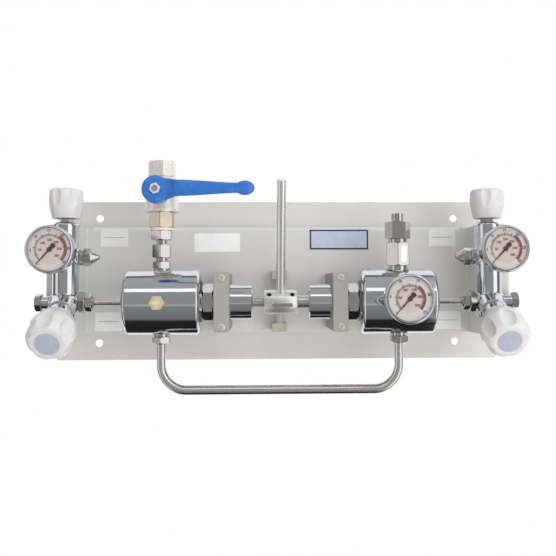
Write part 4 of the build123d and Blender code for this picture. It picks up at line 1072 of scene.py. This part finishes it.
# %% Cases, dials and windows
case_profile = [
    (0.5, 0), (20.5, 0, 0.8), (case_radius, 3.5, 3.0), (case_radius, bezel_start, 0.2),
    (bezel_radius, bezel_start, 0.5), (bezel_radius, bezel_top, 2.6), (22.3, bezel_top, 0.8),
    (dial_radius, 24.9, 0.2), (dial_radius, 20.4), (0.5, 20.4)]
dial_profile = [(0.85, 20.5), (dial_radius, 20.5), (dial_radius, dial_height), (0.85, dial_height)]
window_profile = [(0.5, 23.3), (dial_radius, 23.3), (dial_radius, 24.8), (0.5, 24.8)]
for name, (seat, stem) in gauges.items():
    case = [turned(seat, *case_profile, columns=128), stacked(seat, ("bar", 14.0, stem), start=-stem)]
    make_piece(f"polished_gauge_case_{name}", case, chrome, "panel", [f"gauge_case_{name}"],
               sharp=40)
dials = [turned(seat, *dial_profile, bored=True, columns=128) for seat in gauge_seats.values()]
windows = [turned(seat, *window_profile, columns=128) for seat in gauge_seats.values()]
make_piece("dial_cards", dials, dial_card, "panel", ["gauge_dials"])
make_piece("flat_windows", windows, gauge_glass, "panel", ["gauge_windows"])

# %% Flat prints
print_thickness = 0.05


def flat_shape(where, outline, height, thickness=print_thickness):
    """A thin shape: the outline's points at the given height and again the thickness above it."""
    return closed_shell(put(where, np.stack([
        np.column_stack([outline, np.full(len(outline), level)]) for level in (height, height + thickness)])))


def arc_shape(where, inner, outer, start, end, height):
    """A printed arc between two radii and two angles in degrees, counted anticlockwise."""
    turn = np.radians(np.linspace(start, end, 64))
    line = np.stack([np.cos(turn), np.sin(turn)], axis=1)
    return flat_shape(where, np.concatenate([line * outer, (line * inner)[::-1]]), height)


def ticks(where, count, inner, outer, width, height):
    """Tick marks: boxes along the radius, evenly spaced clockwise from the start of the scale."""
    turn = np.radians(scale_start - np.linspace(0, scale_sweep, count))
    out_dir = np.stack([np.cos(turn), np.sin(turn)], axis=1)[:, None]
    side_dir = np.stack([-np.sin(turn), np.cos(turn)], axis=1)[:, None]
    reach = np.array([inner, outer, outer, inner])[None, :, None]
    half = np.array([-1, -1, 1, 1])[None, :, None] * width / 2
    flat = out_dir * reach + side_dir * half
    low = np.concatenate([flat, np.full(flat.shape[:2] + (1,), height)], axis=2)
    local = np.concatenate([low, low + np.array((0, 0, print_thickness))], axis=1)
    box = np.array([[0, 3, 2, 1], [4, 5, 6, 7], [0, 1, 5, 4], [1, 2, 6, 5], [2, 3, 7, 6], [3, 0, 4, 7]])
    corners = (box[None] + np.arange(count)[:, None, None] * 8).ravel()
    return put(where, local.reshape(-1, 3)), corners, np.full(count * 6, 4)


# %% Dial marks
arc_inner = {"left": 14.8, "right": 14.8, "regulator": 13.1}
arc_width = 2.9
arc_lift = 0.08
red_from = -44
red_to = 55
tint_past_arc = 0.6
tint_height = 0.06
# Each row of marks is a count, the reach from the arc's inner radius, a width and a lift over the card.
mark_rows = [(11, (-1.4, 2.2), 0.8, 0.12), (51, (-1.2, 1.2), 0.6, 0.1)]
tints = []
arcs = []
for name, seat in gauge_seats.items():
    inner = arc_inner[name]
    zone = inner + tint_past_arc
    tints.append(turned(shifted(seat, dial_height - tint_height / 2), (1.0, 0), (zone, 0, 0.01),
                        (zone, tint_height, 0.01), (1.0, tint_height), bored=True))
    arcs.append(arc_shape(seat, inner, inner + arc_width, red_from, red_to, dial_height + arc_lift))
marks = [ticks(seat, count, arc_inner[name] + reach[0], arc_inner[name] + reach[1], width, dial_height + lift)
         for count, reach, width, lift in mark_rows for name, seat in gauge_seats.items()]
make_piece("dial_tints", tints, dial_tint, "panel")
make_piece("dial_red_arcs", arcs, ink_red, "panel")
make_piece("dial_ticks", marks, ink_black, "panel")

# %% Dial numbers


def column(items, key, kind, width=1):
    """One property of all the items, as an array."""
    values = np.zeros(len(items) * width, kind)
    items.foreach_get(key, values)
    return values


def number_mesh(text, where, radius, turn, size, height):
    """The points and faces of a number in Blender's own font, at a radius and an angle on the dial."""
    curve = bpy.data.curves.new("number", "FONT")
    curve.body = text
    curve.size = size
    curve.align_x = "CENTER"
    curve.align_y = "CENTER"
    curve.extrude = 0.02
    curve.offset = 0.12
    carrier = new_object("number", curve)
    mesh = bpy.data.meshes.new_from_object(carrier.evaluated_get(bpy.context.evaluated_depsgraph_get()))
    points = column(mesh.vertices, "co", float, 3).reshape(-1, 3)
    corners = column(mesh.loops, "vertex_index", np.int32)
    sizes = column(mesh.polygons, "loop_total", np.int32)
    bpy.data.objects.remove(carrier)
    bpy.data.meshes.remove(mesh)
    return put(where, points + np.array((radius * cos(turn), radius * sin(turn), height))), corners, sizes


number_count = {"left": 7, "right": 7, "regulator": 6}
# Each row of numbers is the value of one step, the radius, the size and the lift over the card.
number_rows = [(5, 19.2, 3.8, 0.1), (50, 9.6, 3.5, 0.12)]
numbers = []
for name, seat in gauge_seats.items():
    count = number_count[name]
    for step in range(count):
        turn = radians(scale_start - scale_sweep * step / (count - 1))
        for value, radius, size, lift in number_rows:
            numbers.append(number_mesh(str(step * value), seat, radius, turn, size, dial_height + lift))
make_piece("dial_numbers", numbers, ink_grey, "panel")

# %% Pointers
pointer_height = 22.1
pointer_thickness = 0.5
pointer_outline = np.array([
    (18.0, 0.25), (18.3, 0.0), (18.0, -0.25), (2.2, -0.9), (-2.0, -1.2), (-3.4, -2.1), (-5.6, -2.7),
    (-7.0, -2.2), (-7.6, 0.0), (-7.0, 2.2), (-5.6, 2.7), (-3.4, 2.1), (-2.0, 1.2), (2.2, 0.9)])
pointer_hub = [(0.3, 22.0), (2.6, 22.0), (2.6, 22.9, 0.3), (0.3, 23.1)]
turn = radians(scale_start)
for name, (origin, axes) in gauge_seats.items():
    ahead = axes[0] * cos(turn) + axes[1] * sin(turn)
    beside = axes[1] * cos(turn) - axes[0] * sin(turn)
    at_zero = (origin, np.array((ahead, beside, axes[2])))
    needle = flat_shape(at_zero, pointer_outline, pointer_height, pointer_thickness)
    make_piece(f"pointer_needle_{name}", [needle, turned(at_zero, *pointer_hub)], pointer_lacquer,
               f"pointer_{name}", [f"gauge_pointer_{name}"])

# %% [markdown]
# ## Selector
# The hub is a turned steel block with the lever screwed into it, on a shaft that is threaded on the left. A
# real thread is a helix: the radius falls and rises with height minus the share of a turn.

# %% Selector shaft
thread_pitch = 1.75
thread_depth = 0.8
thread_radius = 6.25
left_end = middle_x - 40.0
hub_end = middle_x + 18.0
collar_profile = [(0.5, 0), (7.0, 0, 0.4), (7.0, 24.0, 0.4), (0.5, 24.0)]


def threaded(where, radius, depth, length, pitch):
    """Rings whose radius is R - d (1 + cos(2 pi h / p - a)) / 2: one start of a round-bottomed thread."""
    height = np.linspace(0, length, int(length / pitch * 12))[:, None]
    angles = around(64)
    fade = smooth_step(height, 0, pitch) * (1 - smooth_step(height, length - pitch, length))
    wave = 0.5 + 0.5 * np.cos(2 * pi * height / pitch - angles)
    return closed_shell(rings(where, radius - depth * wave * fade, height, angles))


screwed = threaded(on_gas_line(left_end), thread_radius, thread_depth, hub_end - left_end, thread_pitch)
collar = turned(on_gas_line(hub_end), *collar_profile)
make_piece("screwed_shaft", [screwed, collar], turned_stainless, "selector", ["selector_shaft"])

# %% Hub and lever
lever_lean = radians(25)
lever_up = (0, -sin(lever_lean), cos(lever_lean))
rod_profile = [(0.5, 6.6), (5.0, 6.6, 0.3), (5.0, 139.0, 1.3), (0.5, 139.0)]
machined("selector_hub", "hub_block", blasted_steel)
rod = turned(place(middle_x, gas_y, gas_z, lever_up), *rod_profile)
make_piece("selector_rod", [rod], ground_stainless, "selector", ["selector_lever"])
# The grub screws are black as painted shade in their holes.
machined("selector_grub_screws", "hub_grub_screws", black_for_painted_shade)

# %% Direction mark on the hub
hub_radius = 13.0
mark_lift = 0.1


def wrapped_arrow(tip_x, tail_x, centre_angle):
    """An arrow laid on the hub: at station x the half height is w(x), and a point at height v sits at angle
    centre + v / R on the hub's circle. The mark reaches from just under that circle to just over it."""
    x = np.array([tip_x, tip_x + 1.8, tip_x + 3.6, tip_x + 5.4, tip_x + 5.41, tail_x - 6, tail_x - 3, tail_x])
    half = np.array([0.05, 1.3, 2.5, 3.7, 2.1, 2.1, 2.1, 2.1])
    angle = centre_angle + half[:, None] * np.linspace(-1, 1, 9) / hub_radius
    x = np.broadcast_to(x[:, None], angle.shape)
    outer, inner = [np.stack([x, gas_y - radius * np.cos(angle), gas_z + radius * np.sin(angle)], axis=-1)
                    for radius in (hub_radius + mark_lift, hub_radius - mark_lift)]
    return closed_shell(np.concatenate([outer, inner[:, ::-1]], axis=1))


arrow = wrapped_arrow(-10.0, 13.0, radians(-16))
make_piece("hub_arrow", [arrow], mark_paint, "selector")

# %% [markdown]
# ## Labels and plates
# The panel carries four small labels, a specification label and a name plate. Their print is left off: they
# are plain plates with rounded corners, a thin line where the real ones are divided, and a printed frame on
# the name plate.

# %% Thin plates
plate_edge = 0.08


def rounded_rectangle(width, height, corner):
    """The outline of a rectangle with quarter-circle corners, anticlockwise."""
    turn = np.linspace(0, pi / 2, 7)[None] + np.arange(4)[:, None] * pi / 2
    centre_x = np.array([1, -1, -1, 1])[:, None] * (width / 2 - corner)
    centre_y = np.array([1, 1, -1, -1])[:, None] * (height / 2 - corner)
    outline = np.stack([centre_x + corner * np.cos(turn), centre_y + corner * np.sin(turn)], axis=-1)
    return outline.reshape(-1, 2)


def thin_plate(where, width, height, thickness, corner):
    """A plate from three outlines: the full one on the sheet, the full one near the top, and one drawn in."""
    outline = rounded_rectangle(width, height, corner)
    inner = rounded_rectangle(width - 2 * plate_edge, height - 2 * plate_edge, corner - plate_edge)
    levels = [(outline, 0.0), (outline, thickness - plate_edge), (inner, thickness)]
    return closed_shell(put(where, np.stack([
        np.column_stack([line, np.full(len(line), level)]) for line, level in levels])))


# %% Labels and name plate
face_y = -25.0
label_centres = [(-193.0, 50.5), (-199.0, -48.0), (195.0, 50.5), (200.5, -48.0)]
# Each plate is a width, a height, a thickness and a corner radius.
small_label = (32.0, 21.5, 0.25, 0.8)
divider = (24.0, 0.5, 0.1, 0.12)
specification = (53.8, 21.8, 0.25, 0.8)
relief_label = (7.6, 20.0, 0.2, 2.6)
name_frame = (69.5, 23.4, 0.6, 1.0)
name_face = (65.9, 19.8, 0.32, 0.6)
line_lift = 0.22
face_lift = 0.4
facet = radians(292)
facet_distance = 12.15
facet_place = place(port_x["right"] + facet_distance * cos(facet), gas_y + facet_distance * sin(facet), 27.6,
                    (cos(facet), sin(facet), 0))
labels = [thin_plate(place(x, face_y, z, FRONT), *small_label) for x, z in label_centres]
lines = [thin_plate(place(x, face_y - line_lift, z, FRONT), *divider) for x, z in label_centres]
paper = [thin_plate(place(-72.6, face_y, 44.4, FRONT), *specification),
         thin_plate(facet_place, *relief_label)]
name_place = place(71.7, face_y, 47.8, FRONT)
make_piece("bare_labels", labels, label_film, "panel")
make_piece("bare_paper_labels", paper, label_paper, "panel")
make_piece("label_lines", lines, label_line, "panel")
border = thin_plate(name_place, *name_frame)
make_piece("name_plate_frame", [border], plate_frame, "panel")
middle = thin_plate(shifted(name_place, face_lift), *name_face)
make_piece("name_plate_face", [middle], plate_face, "panel")

# %% [markdown]
# ## Pieces kept from the CAD model
# The spindles, the ball with its seats and stem, and the thrust pads sit inside other pieces. Their CAD
# shapes stay; only their finishes are set.

# %% Finishes of the kept pieces
kept = {
    "valve_stem": turned_stainless, "ball": nut_chrome, "ball_seats": seal_white,
    "thrust_pads": black_for_painted_shade}
for valve in ("purge", "isolation"):
    kept.update({f"{valve}_spindle_{side}": turned_stainless for side in SIDES})
for name, finish in kept.items():
    dress(frame["nodes"][name].data, finish)
    print(name, "is", finish.name)

# %% [markdown]
# ## Floor, room and light
# The panel stands above a plain pale floor that fades to white. The room is the world shader. The camera and
# the glass see white. Mirrors see white behind the panel and a studio in front of it: a dark floor, grey
# walls and ceiling, a long soft box above and a tall one on each side. Chrome has no colour of its own, so
# that studio is what draws its bands. Matt surfaces take a plain soft light, cooler and stronger from the
# right and above.

# %% Functions for floor and room


def calc(tree, operation, *values):
    """The result of one Math node."""
    return add(tree, "ShaderNodeMath", {"operation": operation}, dict(enumerate(values))).outputs[0]


def seen_directly(tree):
    """1 for rays from the camera and for rays through glass; also the Light Path node itself."""
    rays = add(tree, "ShaderNodeLightPath")
    return calc(tree, "MAXIMUM", rays.outputs["Is Camera Ray"], rays.outputs["Is Transmission Ray"]), rays


def mix(tree, share, first, second):
    """The first shader where the share is 0, the second where it is 1."""
    return add(tree, "ShaderNodeMixShader", inputs={"Fac": share, 1: first.outputs[0], 2: second.outputs[0]})


# %% Floor
floor_z = -420.0
floor_half = 900.0
floor_lines = 13
fade_x = 600.0
fade_y = 300.0
floor_finish, tree, spot = new_material("pale_studio_floor")
spread = add(tree, "ShaderNodeMapping", inputs={
    "Vector": spot, "Scale": (1 / (fade_x * MM), 1 / (fade_y * MM), 0.0)})
distance = add(tree, "ShaderNodeVectorMath", {"operation": "LENGTH"}, {0: spread.outputs[0]})
fade = ramp(tree, distance.outputs["Value"], [(0.3, grey(0.0)), (0.85, grey(1.0))], "EASE")
pale = add(tree, "ShaderNodeBsdfDiffuse", inputs={"Color": colour("#F4F4F2")})
white = add(tree, "ShaderNodeEmission", inputs={"Color": grey(1.0), "Strength": 1.0})
show(floor_finish, tree, mix(tree, calc(tree, "MULTIPLY", seen_directly(tree)[0], fade), pale, white))
steps = np.linspace(-floor_half, floor_half, floor_lines)
grid_x, grid_y = np.meshgrid(steps, steps, indexing="ij")
floor_points = np.stack([grid_x, grid_y, np.full_like(grid_x, floor_z)], axis=-1) * MM
index = np.arange(grid_x.size).reshape(grid_x.shape)
floor_faces = np.stack([index[:-1, :-1], index[1:, :-1], index[1:, 1:], index[:-1, 1:]], axis=-1)
floor_mesh = bpy.data.meshes.new("studio_floor")
floor_mesh.from_pydata(floor_points.reshape(-1, 3).tolist(), [], floor_faces.reshape(-1, 4).tolist())
dress(floor_mesh, floor_finish)
floor = new_object("studio_floor", floor_mesh)
floor.visible_glossy = False
print("floor at Z", floor_z)

# %% What mirrors see
world = bpy.data.worlds.new("studio_room")
bpy.context.scene.world = world
world.use_nodes = True
tree = world.node_tree
tree.nodes.clear()
direction = add(tree, "ShaderNodeTexCoord").outputs["Generated"]
axis = add(tree, "ShaderNodeSeparateXYZ", inputs={0: direction})
forward = calc(tree, "MULTIPLY", axis.outputs["Y"], -1.0)


def room_ramp(side, table):
    """Greys by the angle between a mirrored ray and straight ahead of the panel, from -180 to 180 degrees,
    counted upwards or to the right as the side output says."""
    share = calc(tree, "MULTIPLY_ADD", calc(tree, "ARCTAN2", side, forward), 1 / (2 * pi), 0.5)
    return ramp(tree, share, [(degrees / 360 + 0.5, grey(value)) for degrees, value in table])


bands = room_ramp(axis.outputs["Z"], [
    (-180, 1.0), (-138, 1.0), (-130, 0.02), (-68, 0.02), (-60, 0.20), (-14, 0.27), (-10, 0.55), (-5, 0.33),
    (36, 0.34), (39, 1.5), (47, 1.5), (50, 0.42), (95, 0.46), (99, 0.10), (104, 0.10), (108, 1.0),
    (180, 1.0)])
walls = room_ramp(axis.outputs["X"], [
    (-180, 1.0), (-120, 1.0), (-112, 0.12), (-84, 0.16), (-78, 0.9), (-60, 1.0), (-54, 0.28), (0, 0.33),
    (26, 0.38), (31, 1.3), (62, 1.3), (68, 0.22), (84, 0.08), (96, 0.5), (116, 1.0), (180, 1.0)])
aside = ramp(tree, calc(tree, "ABSOLUTE", axis.outputs["X"]), [(0.25, grey(0.0)), (0.6, grey(1.0))], "EASE")
room = add(tree, "ShaderNodeMix", {"data_type": "RGBA"}, {"Factor": aside, 6: bands, 7: walls})
print("room bands set")

# %% What everything else sees
towards_light = (0.42, -0.05, 0.2)
facing_light = add(tree, "ShaderNodeVectorMath", {"operation": "DOT_PRODUCT"}, {
    0: direction, 1: towards_light})
soft_tone = ramp(tree, calc(tree, "ADD", facing_light.outputs["Value"], 0.5), [
    (0.05, colour("#958B80")), (0.45, colour("#CCCAC6")), (0.95, colour("#FBFDFF"))])
room_light, soft_light, white_light = [
    add(tree, "ShaderNodeBackground", inputs={"Color": tint, "Strength": strength})
    for tint, strength in ((room.outputs[2], 1.0), (soft_tone, 1.05), (grey(1.0), 1.0))]
seen, rays = seen_directly(tree)
mirrored = mix(tree, rays.outputs["Is Glossy Ray"], soft_light, room_light)
add(tree, "ShaderNodeOutputWorld", inputs={"Surface": mix(tree, seen, mirrored, white_light).outputs[0]})
print("soft light from the right")

# %% Lamps


def soft_box(name, spot, aim, width, height, power, tint):
    """A rectangular area lamp at a place, turned to face its aim. Reflections and glass don't show it."""
    lamp = bpy.data.lights.new(name, "AREA")
    lamp.shape = "RECTANGLE"
    lamp.size = width * MM
    lamp.size_y = height * MM
    lamp.energy = power
    lamp.color = tint
    lamp_object = new_object(name, lamp)
    lamp_object.visible_glossy = False
    lamp_object.visible_transmission = False
    lamp_object.location = [value * MM for value in spot]
    lamp_object.rotation_euler = (Vector(aim) - Vector(spot)).to_track_quat("-Z", "Y").to_euler()
    print(name, power, "W")


soft_box("key_right", (650, -1400, 40), (60, -50, 0), 1100, 1000, 7.5, (1.0, 0.99, 0.98))
soft_box("low_right", (500, -800, -450), (150, -50, -60), 500, 400, 1.6, (1.0, 0.94, 0.87))
soft_box("fill_left", (-900, -1400, -350), (-60, -50, -20), 800, 800, 2.5, (1.0, 0.92, 0.82))
soft_box("top_box", (250, -700, 1300), (0, -60, 0), 900, 600, 4.0, (0.92, 0.96, 1.0))

# %% [markdown]
# ## Camera
# The photograph looks at the panel almost square on, from a little to the left of its middle. The camera's
# distance and lens come from the four wall holes, which are 430 mm by 150 mm apart in the CAD model.

# %% Camera
camera_place = (-22.0, -900.0, -5.8)
camera_yaw = 1.84
camera_pitch = 2.55
camera_roll = -0.2
camera = bpy.data.cameras.new("front_camera")
camera.lens = 47.91
camera.sensor_width = 36.0
camera.shift_x = -0.0104
camera.shift_y = -0.0468
camera_object = new_object("front_camera", camera)
camera_object.location = [value * MM for value in camera_place]
facing = Matrix.Rotation(radians(-camera_yaw), 4, "Z") @ Matrix.Rotation(radians(90 + camera_pitch), 4, "X")
camera_object.rotation_euler = (facing @ Matrix.Rotation(radians(camera_roll), 4, "Z")).to_euler()
bpy.context.scene.camera = camera_object
bpy.context.scene.view_settings.view_transform = "Standard"
print("camera at", camera_place)
